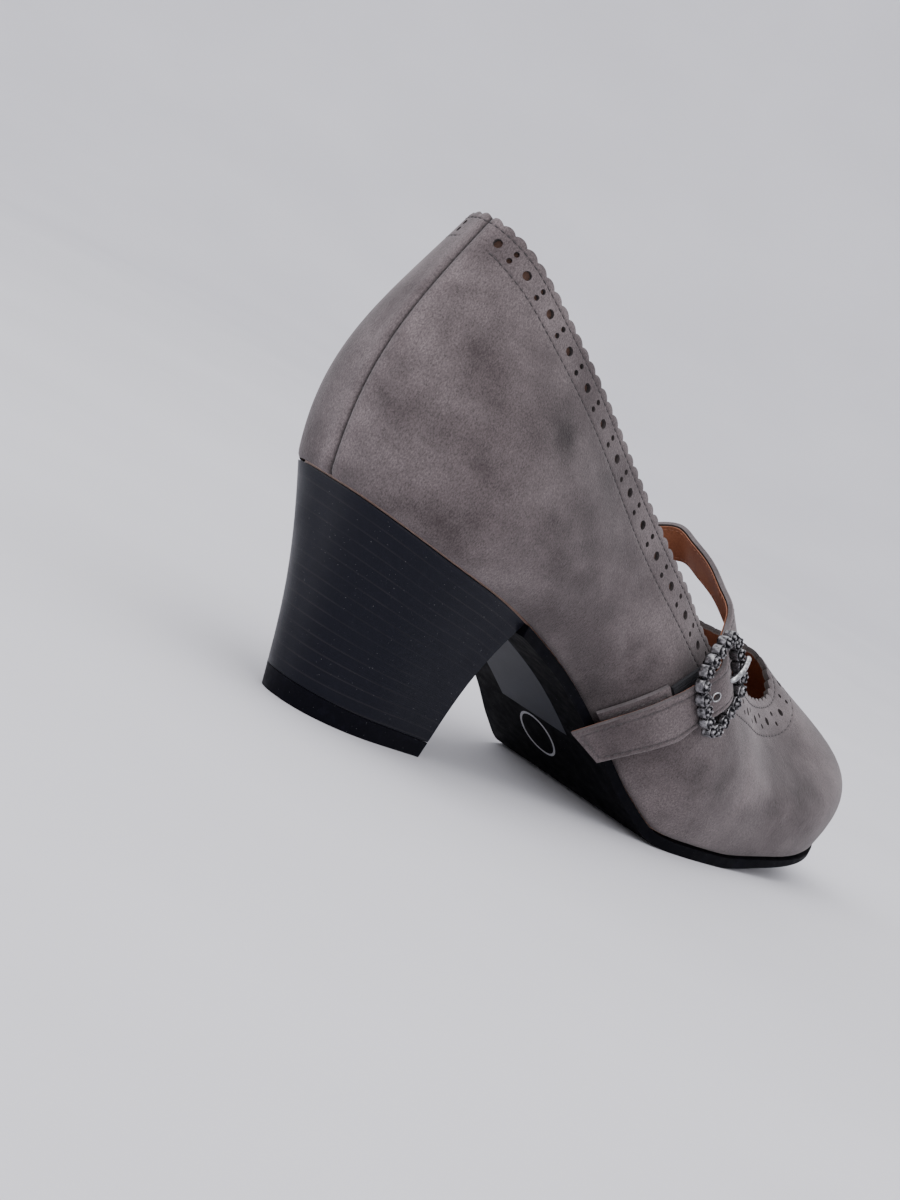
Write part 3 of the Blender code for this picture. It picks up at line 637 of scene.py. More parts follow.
def sweep(path, radii, sides, closed=False):
    """Points and faces of a round bar along a path, with a radius for each of its points."""
    path = np.asarray(path, float)
    count = len(path)
    if closed:
        tangents = np.roll(path, -1, 0) - np.roll(path, 1, 0)
    else:
        tangents = np.gradient(path, axis=0)
    tangents /= np.linalg.norm(tangents, axis=1)[:, None]
    side = np.cross(tangents[0], [0.3, 0.5, 0.8])
    rings = []
    for i in range(count):
        side = side - tangents[i] * (side @ tangents[i])
        side /= np.linalg.norm(side)
        up = np.cross(tangents[i], side)
        turn = np.linspace(0, 2 * math.pi, sides, endpoint=False)[:, None]
        rings.append(path[i] + radii[i] * (np.cos(turn) * side + np.sin(turn) * up))
    faces = []
    for i in range(count if closed else count - 1):
        j = (i + 1) % count
        for k in range(sides):
            m = (k + 1) % sides
            faces.append([i * sides + k, i * sides + m, j * sides + m, j * sides + k])
    if not closed:
        faces.append(list(range(sides))[::-1])
        faces.append(list(range((count - 1) * sides, count * sides)))
    return np.concatenate(rings), faces


def joined(shapes):
    """Several (points, faces) as one."""
    points = []
    faces = []
    start = 0
    for part_points, part_faces in shapes:
        points.append(part_points)
        faces += [[corner + start for corner in face] for face in part_faces]
        start += len(part_points)
    return np.concatenate(points), faces


# Finishes

def finish(name, colour, roughness, **sockets):
    """A material and its tree and shader; sockets are set on the shader itself."""
    made = bpy.data.materials.new(name)
    made.use_nodes = True
    tree = made.node_tree
    shader = tree.nodes["Principled BSDF"]
    shader.inputs["Base Color"].default_value = (*colour, 1.0)
    shader.inputs["Roughness"].default_value = roughness
    for socket, number in sockets.items():
        shader.inputs[socket.replace("_", " ")].default_value = number
    return made, tree, shader


def node(tree, kind, links=None, **settings):
    """Adds a node. Settings are its properties or its sockets' values, links feed its sockets."""
    made = tree.nodes.new("ShaderNode" + kind)
    for key, value in settings.items():
        if hasattr(made, key):
            setattr(made, key, value)
        else:
            made.inputs[key.replace("_", " ")].default_value = value
    for key, source in (links or {}).items():
        tree.links.new(source, made.inputs[key])
    return made


def noise(tree, scale, detail=2.0, stretch=(1, 1, 1), roughness=0.5):
    """A noise over the object's own metres; scale is waves per metre."""
    place = node(tree, "TexCoord").outputs["Object"]
    spread = node(tree, "Mapping", {"Vector": place}, Scale=stretch)
    made = node(tree, "TexNoise", {"Vector": spread.outputs[0]}, Scale=scale, Detail=detail)
    made.inputs["Roughness"].default_value = roughness
    return made.outputs["Fac"]


def spread(tree, source, low, high, to_low=0.0, to_high=1.0):
    """Maps a value's range to another, clamped."""
    made = node(tree, "MapRange", {"Value": source})
    for socket, number in (("From Min", low), ("From Max", high), ("To Min", to_low), ("To Max", to_high)):
        made.inputs[socket].default_value = number
    return made.outputs["Result"]


def blend(tree, share, first, second, mode="MIX"):
    """Mixes two colours; each is a colour or a socket, and so is the share."""
    made = tree.nodes.new("ShaderNodeMix")
    made.data_type = "RGBA"
    made.blend_type = mode
    for socket, value in ((made.inputs[0], share), (made.inputs[6], first), (made.inputs[7], second)):
        if isinstance(value, bpy.types.NodeSocket):
            tree.links.new(value, socket)
        elif isinstance(value, (int, float)):
            socket.default_value = value
        else:
            socket.default_value = (*value, 1.0)
    return made.outputs[2]


def bump(tree, shader, layers):
    """Stacks bumps on a shader: each layer is a height socket, a depth in metres and a strength."""
    below = None
    for height, distance, strength in layers:
        links = {"Height": height}
        if below is not None:
            links["Normal"] = below
        made = node(tree, "Bump", links, Strength=strength, Distance=distance)
        below = made.outputs["Normal"]
    tree.links.new(below, shader.inputs["Normal"])


def value_of(tree, name):
    """A named value that a mesh holds on its points."""
    return node(tree, "Attribute", attribute_name=name).outputs["Fac"]


def suede_finish(name, light, dark):
    """Napped grey leather: mottled where it was brushed, with dark grooves and painted shade beside the strap from the
    mesh's patches.
    """
    made, tree, shader = finish(name, light, 0.95, Sheen_Weight=0.28, Sheen_Roughness=0.45)
    shader.inputs["Sheen Tint"].default_value = (0.80, 0.76, 0.76, 1.0)
    shader.inputs["Specular IOR Level"].default_value = 0.15
    mottle_and_shade = spread(tree, noise(tree, 42, 3.0, (1.0, 0.8, 1.15), 0.55), 0.36, 0.66)
    colour = blend(tree, mottle_and_shade, dark, light)
    clouds = spread(tree, noise(tree, 130, 2.0), 0.35, 0.7, 0.90, 1.08)
    colour = blend(tree, 1.0, colour, clouds, "MULTIPLY")
    nap = spread(tree, noise(tree, 2700, 3.0, (1, 1, 0.6), 0.75), 0.28, 0.72, 0.45, 1.55)
    colour = blend(tree, 1.0, colour, nap, "MULTIPLY")
    # Darker and lighter patches held on the mesh, with painted shade beside the strap, broken up by noise.
    wear_and_shade = node(tree, "Math", {0: value_of(tree, "tone_and_shade"), 1: spread(tree, noise(tree, 75, 3.0), 0.3, 0.7, 0.35, 1.65)},
                operation="MULTIPLY").outputs[0]
    patches = spread(tree, wear_and_shade, -0.6, 0.6, 0.10, 1.90)
    colour = blend(tree, 1.0, colour, patches, "MULTIPLY")
    colour = blend(tree, value_of(tree, "groove"), colour, (0.012, 0.010, 0.010))
    tree.links.new(colour, shader.inputs["Base Color"])
    bump(tree, shader, (
        (noise(tree, 60, 2.0), 0.0012, 0.25),
        (noise(tree, 420, 3.0), 0.0003, 0.35),
        (noise(tree, 1900, 3.0, (1, 1, 0.6), 0.7), 0.00022, 0.75),
    ))
    return made


def leather_finish(name, colour, shade, roughness=0.5):
    """Smooth lining leather with fine pores and soft darker places."""
    made, tree, shader = finish(name, colour, roughness)
    wear_and_shade = spread(tree, noise(tree, 70, 3.0), 0.35, 0.7)
    mixed = blend(tree, wear_and_shade, shade, colour)
    pores = spread(tree, noise(tree, 1600, 2.0), 0.3, 0.62, 0.80, 1.08)
    mixed = blend(tree, 1.0, mixed, pores, "MULTIPLY")
    tree.links.new(mixed, shader.inputs["Base Color"])
    bump(tree, shader, ((noise(tree, 900, 3.0), 0.00012, 0.4), (noise(tree, 2600, 2.0), 0.00006, 0.4)))
    return made


HEEL_LAYERS = 17.0


def heel_finish(name):
    """Satin black with the fine lines of a stacked heel and a few scratches."""
    made, tree, shader = finish(name, (0.0030, 0.0032, 0.0060), 0.45)
    shader.inputs["Specular IOR Level"].default_value = 0.17
    shader.inputs["Specular Tint"].default_value = (0.82, 0.86, 1.0, 1.0)
    layers = node(tree, "CombineXYZ", {"X": value_of(tree, "level")})
    stack = node(tree, "TexNoise", {"Vector": layers.outputs[0]}, Scale=95.0, Detail=4.0)
    stack.inputs["Roughness"].default_value = 0.75
    wander = node(tree, "Math", {0: value_of(tree, "level")}, operation="MULTIPLY")
    wander.inputs[1].default_value = HEEL_LAYERS
    shifted = node(tree, "Math", {0: wander.outputs[0], 1: spread(tree, noise(tree, 12, 1.0), 0.3, 0.7, 0.0, 0.4)},
                   operation="ADD")
    within = node(tree, "Math", {0: shifted.outputs[0]}, operation="FRACT").outputs[0]
    lines = spread(tree, within, 0.0, 0.16, 1.0, 0.0)
    breaks = spread(tree, noise(tree, 60, 2.0), 0.30, 0.60, 0.15, 1.0)
    drawn = node(tree, "Math", {0: lines, 1: breaks}, operation="MULTIPLY").outputs[0]
    colour = blend(tree, drawn, (0.0030, 0.0032, 0.0060), (0.014, 0.0125, 0.0145))
    specks = spread(tree, noise(tree, 2600, 1.0), 0.775, 0.79)
    colour = blend(tree, specks, colour, (0.12, 0.12, 0.12))
    tree.links.new(colour, shader.inputs["Base Color"])
    tree.links.new(spread(tree, noise(tree, 90, 4.0), 0.3, 0.7, 0.33, 0.50), shader.inputs["Roughness"])
    bump(tree, shader, ((stack.outputs["Fac"], 0.0002, 0.35), (noise(tree, 700, 3.0), 0.0001, 0.2)))
    return made


def rubber_finish(name, colour, roughness):
    """Matt black, a little dusty."""
    made, tree, shader = finish(name, colour, roughness)
    shader.inputs["Specular IOR Level"].default_value = 0.05
    dust = spread(tree, noise(tree, 220, 4.0, (1, 1, 1), 0.7), 0.52, 0.85)
    mixed = blend(tree, dust, colour, tuple(3.0 * part for part in colour))
    specks = spread(tree, noise(tree, 2600, 1.0), 0.77, 0.79)
    mixed = blend(tree, specks, mixed, (0.12, 0.12, 0.13))
    tree.links.new(mixed, shader.inputs["Base Color"])
    tree.links.new(spread(tree, noise(tree, 300, 3.0), 0.3, 0.7, roughness - 0.1, roughness + 0.1),
                   shader.inputs["Roughness"])
    bump(tree, shader, ((noise(tree, 1200, 3.0), 0.0001, 0.3),))
    return made


def silver_finish(name, bright, dark, roughness):
    """Old silver: bright where it is touched, dark in the hollows."""
    made, tree, shader = finish(name, bright, roughness, Metallic=1.0)
    stained = spread(tree, noise(tree, 900, 3.0), 0.38, 0.62, 0.0, 0.70)
    hollow = node(tree, "Math", {0: value_of(tree, "groove"), 1: stained}, operation="ADD")
    hollow.use_clamp = True
    tree.links.new(blend(tree, hollow.outputs[0], bright, dark), shader.inputs["Base Color"])
    tree.links.new(spread(tree, hollow.outputs[0], 0.0, 1.0, roughness, 0.6), shader.inputs["Roughness"])
    bump(tree, shader, ((noise(tree, 1400, 2.0), 0.00008, 0.3),))
    return made


def elastic_finish(name):
    """Black ribbed elastic."""
    made, tree, shader = finish(name, (0.010, 0.010, 0.012), 0.9)
    weave = noise(tree, 2600, 2.0)
    tree.links.new(spread(tree, weave, 0.3, 0.7, 0.75, 1.0), shader.inputs["Roughness"])
    tree.links.new(blend(tree, spread(tree, weave, 0.4, 0.7), (0.006, 0.006, 0.008), (0.024, 0.024, 0.028)),
                   shader.inputs["Base Color"])
    bump(tree, shader, ((weave, 0.0002, 0.6),))
    return made


def thread_finish(name, colour):
    """Twisted sewing thread."""
    made, tree, shader = finish(name, colour, 0.7)
    twist = noise(tree, 2200, 1.0)
    tree.links.new(blend(tree, spread(tree, twist, 0.35, 0.65), tuple(0.5 * part for part in colour), colour),
                   shader.inputs["Base Color"])
    bump(tree, shader, ((twist, 0.0001, 0.4),))
    return made


FINISH = {
    "suede": suede_finish("suede", (0.118, 0.098, 0.099), (0.054, 0.043, 0.044)),
    "cut_edge": leather_finish("cut_edge", (0.050, 0.041, 0.040), (0.028, 0.023, 0.023), 0.95),
    "cognac": leather_finish("cognac", (0.270, 0.108, 0.055), (0.185, 0.068, 0.034), 0.72),
    "cognac_cut": leather_finish("cognac_cut", (0.430, 0.190, 0.110), (0.300, 0.120, 0.070), 0.8),
    "backing": leather_finish("backing", (0.085, 0.042, 0.028), (0.045, 0.022, 0.015), 0.9),
    "lining_cut": leather_finish("lining_cut", (0.055, 0.042, 0.038), (0.032, 0.025, 0.023), 0.95),
    "pale": leather_finish("pale", (0.500, 0.330, 0.265), (0.420, 0.270, 0.215), 0.45),
    "heel": heel_finish("heel"),
    "sole": rubber_finish("sole", (0.0012, 0.0012, 0.0022), 0.7),
    "top_piece": rubber_finish("top_piece", (0.0024, 0.0024, 0.0045), 0.5),
    "raw_edge": leather_finish("raw_edge", (0.150, 0.132, 0.134), (0.085, 0.072, 0.074), 0.95),
    "film": leather_finish("film", (0.018, 0.021, 0.032), (0.010, 0.012, 0.019), 0.58),
    "ring": leather_finish("ring", (0.40, 0.40, 0.43), (0.32, 0.32, 0.34), 0.7),
    "silver": silver_finish("silver", (0.34, 0.33, 0.34), (0.010, 0.010, 0.012), 0.20),
    "bright": silver_finish("bright", (0.52, 0.52, 0.53), (0.08, 0.08, 0.08), 0.14),
    "elastic": elastic_finish("elastic"),
    "thread": thread_finish("thread", (0.036, 0.030, 0.031)),
    "pale_thread": thread_finish("pale_thread", (0.060, 0.052, 0.053)),
    "orange_thread": thread_finish("orange_thread", (0.34, 0.15, 0.09)),
}


def dress(piece, slot, *nodes):
    """The piece rides with the shoe and stands for nodes of the frame; its slot is not used."""
    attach(piece, "root")
    if nodes:
        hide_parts(*nodes)
    return piece


# The upper

def scallop(run):
    """Depth of the scalloped edge: lobes that stand proud, with sharp notches between."""
    count = round(TOPLINE / SCALLOP_PITCH)
    place = np.mod(np.asarray(run) * count / TOPLINE, 1.0)
    return SCALLOP_DEPTH * np.abs(2 * place - 1)**2.2 - SCALLOP_PROUD


# Soft dents and swells: run as a share of the topline from the back seam round the outer
# side, depth as a share of the rib, both radii and the height in millimetres.
SWELLS = {
    "heel_curve_outer": (0.07, 0.45, 16, 24, -0.35),
    "quarter_outer": (0.17, 0.35, 26, 18, 0.40),
    "waist_outer": (0.25, 0.62, 18, 16, -0.35),
    "beside_strap": (0.33, 0.70, 12, 12, 0.30),
    "vamp_outer": (0.41, 0.62, 14, 14, 0.40),
    "vamp_dent": (0.385, 0.40, 7, 12, -0.35),
    "toe_outer": (0.46, 0.45, 10, 14, -0.30),
    "toe_inner": (0.56, 0.55, 12, 14, 0.35),
    "ball_inner": (0.63, 0.50, 14, 13, -0.35),
    "waist_inner": (0.74, 0.55, 20, 16, 0.35),
    "quarter_inner": (0.84, 0.40, 22, 18, -0.35),
    "heel_curve_inner": (0.93, 0.50, 16, 22, 0.30),
}

# Places that were brushed darker (below 0) or lighter, laid out as the swells are, and strap_shade, painted shade
# beside the strap.
TONE_AND_SHADE_PATCHES = {
    "back_light_outer": (0.020, 0.35, 9, 30, 0.16),
    "back_light_inner": (0.985, 0.40, 7, 30, 0.16),
    "quarter_light_high": (0.077, 0.38, 12, 9, 0.14),
    "quarter_dark_high": (0.108, 0.33, 11, 9, -0.34),
    "quarter_dark_middle": (0.161, 0.64, 12, 10, -0.20),
    "quarter_light_middle": (0.190, 0.52, 14, 9, 0.16),
    "quarter_light_low": (0.085, 0.72, 13, 12, 0.14),
    "quarter_dark_edge": (0.165, 0.24, 12, 7, -0.16),
    "waist_dark": (0.253, 0.92, 16, 8, -0.22),
    "waist_light": (0.235, 0.55, 12, 10, 0.10),
    "strap_shade": (0.300, 0.45, 8, 12, -0.22),
    "vamp_dark_side": (0.357, 0.62, 9, 8, -0.24),
    "vamp_light": (0.400, 0.50, 8, 8, 0.12),
    "vamp_dark_toe": (0.455, 0.55, 9, 8, -0.24),
    "toe_light": (0.500, 0.72, 12, 9, 0.12),
    "toe_dark": (0.560, 0.40, 12, 9, -0.16),
    "inner_dark": (0.660, 0.55, 15, 12, -0.20),
    "inner_light": (0.740, 0.45, 14, 12, 0.14),
    "inner_dark_back": (0.830, 0.60, 14, 12, -0.18),
    "inner_light_back": (0.910, 0.45, 12, 14, 0.10),
}

# Creases: ends as run and depth shares, then half width and depth in millimetres.
CREASES = {
    "over_feather_outer": (0.352, 0.76, 0.358, 0.93, 0.7, 0.35),
    "vamp_flex_outer": (0.372, 0.36, 0.352, 0.66, 2.6, 0.30),
    "vamp_flex_outer_low": (0.394, 0.44, 0.384, 0.76, 2.4, 0.15),
    "vamp_flex_inner": (0.632, 0.36, 0.650, 0.68, 2.6, 0.30),
    "vamp_flex_inner_low": (0.610, 0.42, 0.618, 0.74, 2.4, 0.15),
    "waist_outer": (0.225, 0.50, 0.262, 0.74, 3.0, 0.40),
    "waist_inner": (0.775, 0.50, 0.735, 0.72, 3.0, 0.40),
    "quarter_outer": (0.100, 0.62, 0.160, 0.48, 3.6, 0.40),
    "quarter_inner": (0.900, 0.60, 0.845, 0.46, 3.6, 0.40),
}


def spots(table, run, depth):
    """Sum of a table's soft spots at runs and depths."""
    total = np.zeros(len(run))
    rib = full_depth(run)
    for at, down, along, across, height in table.values():
        aside = np.mod(run - at * TOPLINE + TOPLINE / 2, TOPLINE) - TOPLINE / 2
        total += height * np.exp(-(aside / (along * MM))**2 - ((depth - down * rib) / (across * MM))**2)
    return total


def seam_height(run, depth):
    """The back seam: a sharp groove between two soft raised lips."""
    aside = from_seam(run)
    return -0.45 * MM * bell(aside, 0.45 * MM) + 0.30 * MM * bell(aside - 2.4 * MM, 1.7 * MM)


def row_grooves(run, depth):
    """1 in the stitch rows' grooves, 0 beside them; the lower row stops beside the back seam."""
    lower = bell(depth - LOWER_ROW, GROOVE_WIDTH) * (from_seam(run) > LOWER_ROW_FROM_SEAM)
    return np.maximum(bell(depth - EDGE_ROW, GROOVE_WIDTH), lower)


def creases(run, depth):
    """Soft troughs between low ridges along short lines."""
    total = np.zeros(len(run))
    rib = full_depth(run)
    for start_run, start_down, end_run, end_down, width, height in CREASES.values():
        aside = np.mod(run - start_run * TOPLINE + TOPLINE / 2, TOPLINE) - TOPLINE / 2
        along = (end_run - start_run) * TOPLINE
        down = (end_down - start_down) * rib
        below = depth - start_down * rib
        share = np.clip((aside * along + below * down) / (along**2 + down**2), 0, 1)
        away = np.hypot(aside - share * along, below - share * down)
        fade = 4 * share * (1 - share)
        total -= height * MM * fade * (bell(away, width * MM) - 0.4 * bell(away, 2.6 * width * MM))
    return total


def relief(run, depth):
    """Height of the suede's outer face over the last."""
    height = spots(SWELLS, run, depth) * MM
    height += seam_height(run, depth)
    height += creases(run, depth)
    height -= GROOVE * row_grooves(run, depth)
    above_foot = np.maximum(1 - (full_depth(run) - depth) / (2.0 * MM), 0)
    height -= 0.6 * MM * above_foot**2
    height -= 0.25 * MM * np.maximum(1 - (depth - scallop(run)) / (0.7 * MM), 0)**2
    return height


def hole_plan():
    """Rows of (run, depth, radius) for the punched pattern: a big hole, then a pair of small ones."""
    room = TOPLINE - HOLE_START_OUTER - HOLE_START_INNER
    steps = 2 * round((room / HOLE_STEP - 1) / 2) + 1
    holes = []
    for k in range(steps + 1):
        run = HOLE_START_OUTER + room * k / steps
        if k % 2 == 0:
            holes.append((run, BIG_HOLE_DEPTH, BIG_HOLE))
        else:
            holes += [(run, depth, SMALL_HOLE) for depth in SMALL_HOLE_DEPTHS]
    return np.array(holes)


def column_runs():
    """Runs of the suede's columns, closer together beside the back seam."""
    near = np.array([0, 0.25, 0.5, 0.8, 1.2, 1.7, 2.4, 3.2, 4.1]) * MM
    count = round((TOPLINE - 2 * near[-1]) / (0.95 * MM))
    middle = np.linspace(near[-1], TOPLINE - near[-1], count + 1)
    return np.concatenate([near[:-1], middle, TOPLINE - near[:-1][::-1]])


BAND_ROWS = np.array([
    0.9, 1.4, 1.8, 2.1, 2.35, 2.65, 2.9, 3.3, 4.0, 4.8, 5.6, 6.4, 7.2, 8.0, 8.8, 9.6, 10.2,
    10.6, 10.85, 11.15, 11.4, 11.9, 12.5,
]) * MM


def punched_band(columns, holes):
    """The flat mesh of the upper's top band, scalloped, with its holes cut out."""
    lobes = round(TOPLINE / SCALLOP_PITCH)
    edge_runs = np.linspace(0, TOPLINE, lobes * 10 + 1)
    edge = np.stack([edge_runs, scallop(edge_runs)], 1)
    right = np.stack([np.full(len(BAND_ROWS), TOPLINE), BAND_ROWS], 1)
    bottom = np.stack([columns, np.full(len(columns), BAND_DEPTH)], 1)[::-1]
    left = np.stack([np.zeros(len(BAND_ROWS)), BAND_ROWS], 1)[::-1]
    outline = np.concatenate([edge, right, bottom, left])
    stretch = np.linalg.norm(
        bare_upper(holes[:, 0] + MM, holes[:, 1]) - bare_upper(holes[:, 0] - MM, holes[:, 1]), axis=1
    ) / (2 * MM)
    rows = [outline]
    loops = [(len(outline), True)]
    narrow = band_scale(holes[:, 0])
    for (run, depth, radius), wide, tall in zip(holes, stretch, narrow):
        sides = 18 if radius == BIG_HOLE else 14
        turn = np.linspace(0, 2 * math.pi, sides, endpoint=False)
        rows.append(np.stack([run + radius / wide * np.cos(turn), depth + radius / tall * np.sin(turn)], 1))
        loops.append((sides, True))
    inside = np.stack(np.meshgrid(columns[1:-1], BAND_ROWS), -1).reshape(-1, 2)
    inside = inside[inside[:, 1] > np.interp(inside[:, 0], edge[:, 0], edge[:, 1]) + 0.30 * MM]
    away = np.full(len(inside), True)
    for (run, depth, radius), tall in zip(holes, narrow):
        away &= np.hypot(inside[:, 0] - run, (inside[:, 1] - depth) * tall) > radius + 0.22 * MM
    rows.append(inside[away])

    def keep(centres):
        kept = centres[:, 1] > np.interp(centres[:, 0], edge[:, 0], edge[:, 1])
        for (run, depth, radius), wide, tall in zip(holes, stretch, narrow):
            reach = np.hypot((centres[:, 0] - run) * wide, (centres[:, 1] - depth) * tall)
            kept &= reach > 0.955 * radius
        return kept

    return triangulate(np.concatenate(rows), loops, keep)


def lower_wall(columns, rows):
    """The flat mesh from the band down to the feather line."""
    share = np.linspace(0, 1, rows + 1)
    bottom = full_depth(columns)
    depth = BAND_DEPTH + (bottom - BAND_DEPTH)[:, None] * share
    flat = np.stack([np.broadcast_to(columns[:, None], depth.shape), depth], 2).reshape(-1, 2)
    faces = []
    for i in range(len(columns) - 1):
        for k in range(rows):
            a = i * (rows + 1) + k
            faces.append([a, a + rows + 1, a + rows + 2, a + 1])
    return flat, faces


def merged(parts):
    """Joins flat meshes, also across the back seam, where the run starts again."""
    index = {}
    flat = []
    faces = []
    for points, part_faces in parts:
        order = []
        for run, depth in points:
            key = (round(run / TOPLINE * 4e6) % 4000000, round(depth * 1e7))
            if key not in index:
                index[key] = len(flat)
                flat.append((run, depth))
            order.append(index[key])
        faces += [[order[corner] for corner in face] for face in part_faces]
    return np.array(flat), faces


def make_suede():
    columns = column_runs()
    flat, faces = merged([punched_band(columns, hole_plan()), lower_wall(columns, 58)])
    run, depth = flat.T
    height = relief(run, depth)
    groove = 0.85 * bell(from_seam(run), 0.40 * MM) * (depth > 0)
    groove = np.maximum(groove, 0.22 * row_grooves(run, depth))
    # Tone patches with painted shade beside the strap, and a lighter band along the back seam's raised lips.
    mottle_and_shade = spots(TONE_AND_SHADE_PATCHES, run, depth) + 0.22 * bell(from_seam(run) - 2.6 * MM, 2.2 * MM)
    outer = on_upper(run, depth, height)
    inner = on_upper(run, depth, -SUEDE)
    suede = wall_between("suede_upper", outer, inner, faces,
                         (FINISH["suede"], FINISH["cut_edge"], FINISH["cut_edge"]),
                         {"groove": groove, "tone_and_shade": mottle_and_shade})
    return dress(suede, "suede", "upper")


def make_lining(name, start, end, proud, inner_finish, slot):
    """A lining shell behind the suede from one run to another; its edge follows the scallops."""
    steps = round((end - start) / (SCALLOP_PITCH / 6))
    runs = np.linspace(start, end, steps + 1)
    shares = np.linspace(0, 1, 31)**1.4
    top = scallop(runs) - proud
    depth = top[:, None] + (full_depth(runs) - 0.8 * MM - top)[:, None] * shares
    run = np.broadcast_to(runs[:, None], depth.shape).ravel()
    depth = depth.ravel()
    size = len(shares)
    faces = []
    for i in range(steps):
        for k in range(size - 1):
            a = i * size + k
            faces.append([a, a + size, a + size + 1, a + 1])
    outer = on_upper(run, depth, -SUEDE - LINING_GAP)
    inner = on_upper(run, depth, -UPPER_WALL)
    lining = wall_between(name, outer, inner, faces, (FINISH["backing"], inner_finish, FINISH["lining_cut"]))
    return dress(lining, slot)


# Sewing

def small_ball(around, up):
    """Points and faces of a ball of radius one."""
    points = [(0, 0, -1.0)]
    for k in range(1, up):
        tilt = math.pi * k / up - math.pi / 2
        for i in range(around):
            turn = 2 * math.pi * i / around
            points.append((math.cos(tilt) * math.cos(turn), math.cos(tilt) * math.sin(turn), math.sin(tilt)))
    points.append((0, 0, 1.0))
    faces = [[0, 1 + (i + 1) % around, 1 + i] for i in range(around)]
    for k in range(up - 2):
        for i in range(around):
            a = 1 + k * around + i
            b = 1 + k * around + (i + 1) % around
            faces.append([a, b, b + around, a + around])
    last = 1 + (up - 2) * around
    faces += [[last + i, last + (i + 1) % around, len(points) - 1] for i in range(around)]
    return np.array(points), faces


def stitches(name, rows, finish_name, slot, length=STITCH_LENGTH, width=STITCH_WIDTH, slant=0.0):
    """Stitches as small rounded bars; each row gives middles, directions along and outward."""
    ball, ball_faces = small_ball(8, 6)
    shapes = []
    for middles, along, outward in rows:
        along = along / np.linalg.norm(along, axis=1)[:, None]
        side = np.cross(outward, along)
        side /= np.linalg.norm(side, axis=1)[:, None]
        for middle, ahead, aside in zip(middles, along, side):
            ahead = ahead + aside * slant
            up = np.cross(ahead, aside)
            placed = ball * np.array([length / 2, width / 2, width / 2])
            shapes.append((middle + placed @ np.array([ahead, aside, up]), ball_faces))
    points, faces = joined(shapes)
    return dress(make_mesh(name, points, faces, (FINISH[finish_name],)), slot)


def row_on(place, runs, across, lift, along_run=True):
    """Middles, directions and outward ways for stitches on a placed surface."""
    across = np.broadcast_to(across, runs.shape)
    middle = place(runs, across, lift)
    reach = 0.3 * MM
    if along_run:
        ahead = place(runs + reach, across, lift) - place(runs - reach, across, lift)
    else:
        ahead = place(runs, across + reach, lift) - place(runs, across - reach, lift)
    return middle, ahead, place(runs, across, lift + MM) - middle


def upper_stitches():
    count = round(TOPLINE / STITCH_PITCH)
    runs = (np.arange(count) + 0.5) * TOPLINE / count
    rows = []
    clear_of_seam = runs[from_seam(runs) > LOWER_ROW_FROM_SEAM + STITCH_PITCH / 2]
    for depth, row_runs in ((EDGE_ROW, runs), (LOWER_ROW, clear_of_seam)):
        depth = np.full(len(row_runs), depth)
        lift = relief(row_runs, depth) + 0.04 * MM
        middle = on_upper(row_runs, depth, lift)
        ahead = on_upper(row_runs + 0.3 * MM, depth, lift) - on_upper(row_runs - 0.3 * MM, depth, lift)
        rows.append((middle, ahead, upper_normal(row_runs, depth)))
    stitches("edge_stitches", rows, "thread", "suede")
    depth = np.arange(1.6 * MM, float(full_depth(0.0)) - MM, 2.3 * MM)
    runs = np.zeros(len(depth))
    lift = relief(runs, depth) + 0.02 * MM
    middle = on_upper(runs, depth, lift)
    ahead = on_upper(runs, depth + 0.3 * MM, lift) - on_upper(runs, depth - 0.3 * MM, lift)
    stitches("seam_stitches", [(middle, ahead, upper_normal(runs, depth))], "thread", "suede",
             1.1 * MM, 0.34 * MM, 0.35)


# Sole, sock and heel

def insole_thickness(y):
    return np.full_like(y, INSOLE_THICKNESS)


def outsole_thickness(y):
    """The outsole under its gap to the upper, thinner towards the toe."""
    table = np.array(list(SOLE_TAPER.values()))
    return (SOLE_THICKNESS - GAP) * steady_curve((y - BACK_Y) / LENGTH, table[:, 0], table[:, 1])


def plate(name, start, margin, top_lift, thickness, rows, across, cup, finish_name, bevel):
    """A plate under the foot: rows across the shoe, from start (or the back) to the toe."""
    _, _, back, toe = feather_sides(0.0, margin)
    closed_back = start is None
    first = back if closed_back else start
    turn = np.linspace(0 if closed_back else math.pi / 2, math.pi, rows + 1)
    share = (1 - np.cos(turn)) / 2 if closed_back else -np.cos(turn)
    ys = first + (toe - first) * share
    inner, outer, _, _ = feather_sides(ys, margin)
    thick = thickness(ys)
    points = []
    ladder = []
    for i, y in enumerate(ys):
        pointed = i == rows or (closed_back and i == 0)
        sides = np.array([0.5]) if pointed else (1 - np.cos(np.linspace(0, math.pi, across + 1))) / 2
        row = []
        for side in sides:
            x = inner[i] + (outer[i] - inner[i]) * side
            rise = cup * (2 * side - 1)**4
            row.append(len(points))
            points.append((x, y, sole_top(y) + top_lift + rise))
            points.append((x, y, sole_top(y) + top_lift - thick[i]))
        ladder.append(row)
    faces = []
    for low, high in zip(ladder, ladder[1:]):
        for k in range(across):
            corners = [low[min(k, len(low) - 1)], low[min(k + 1, len(low) - 1)]]
            corners += [high[min(k + 1, len(high) - 1)], high[min(k, len(high) - 1)]]
            ring = list(dict.fromkeys(corners))
            faces.append(ring)
            faces.append([corner + 1 for corner in reversed(ring)])
        for a, b in ((low[0], high[0]), (high[-1], low[-1])):
            faces.append([a, b, b + 1, a + 1])
    if not closed_back:
        for a, b in zip(ladder[0][1:], ladder[0]):
            faces.append([a, b, b + 1, a + 1])
    made = make_mesh(name, points, faces, (FINISH[finish_name],))
    turn_out(made)
    round_edges(made, bevel)
    return made


def under_sole(x, y, below):
    """Points just below the outsole's underside."""
    z = sole_top(y) - GAP - outsole_thickness(y) - below
    return np.stack([x, y, z], -1)


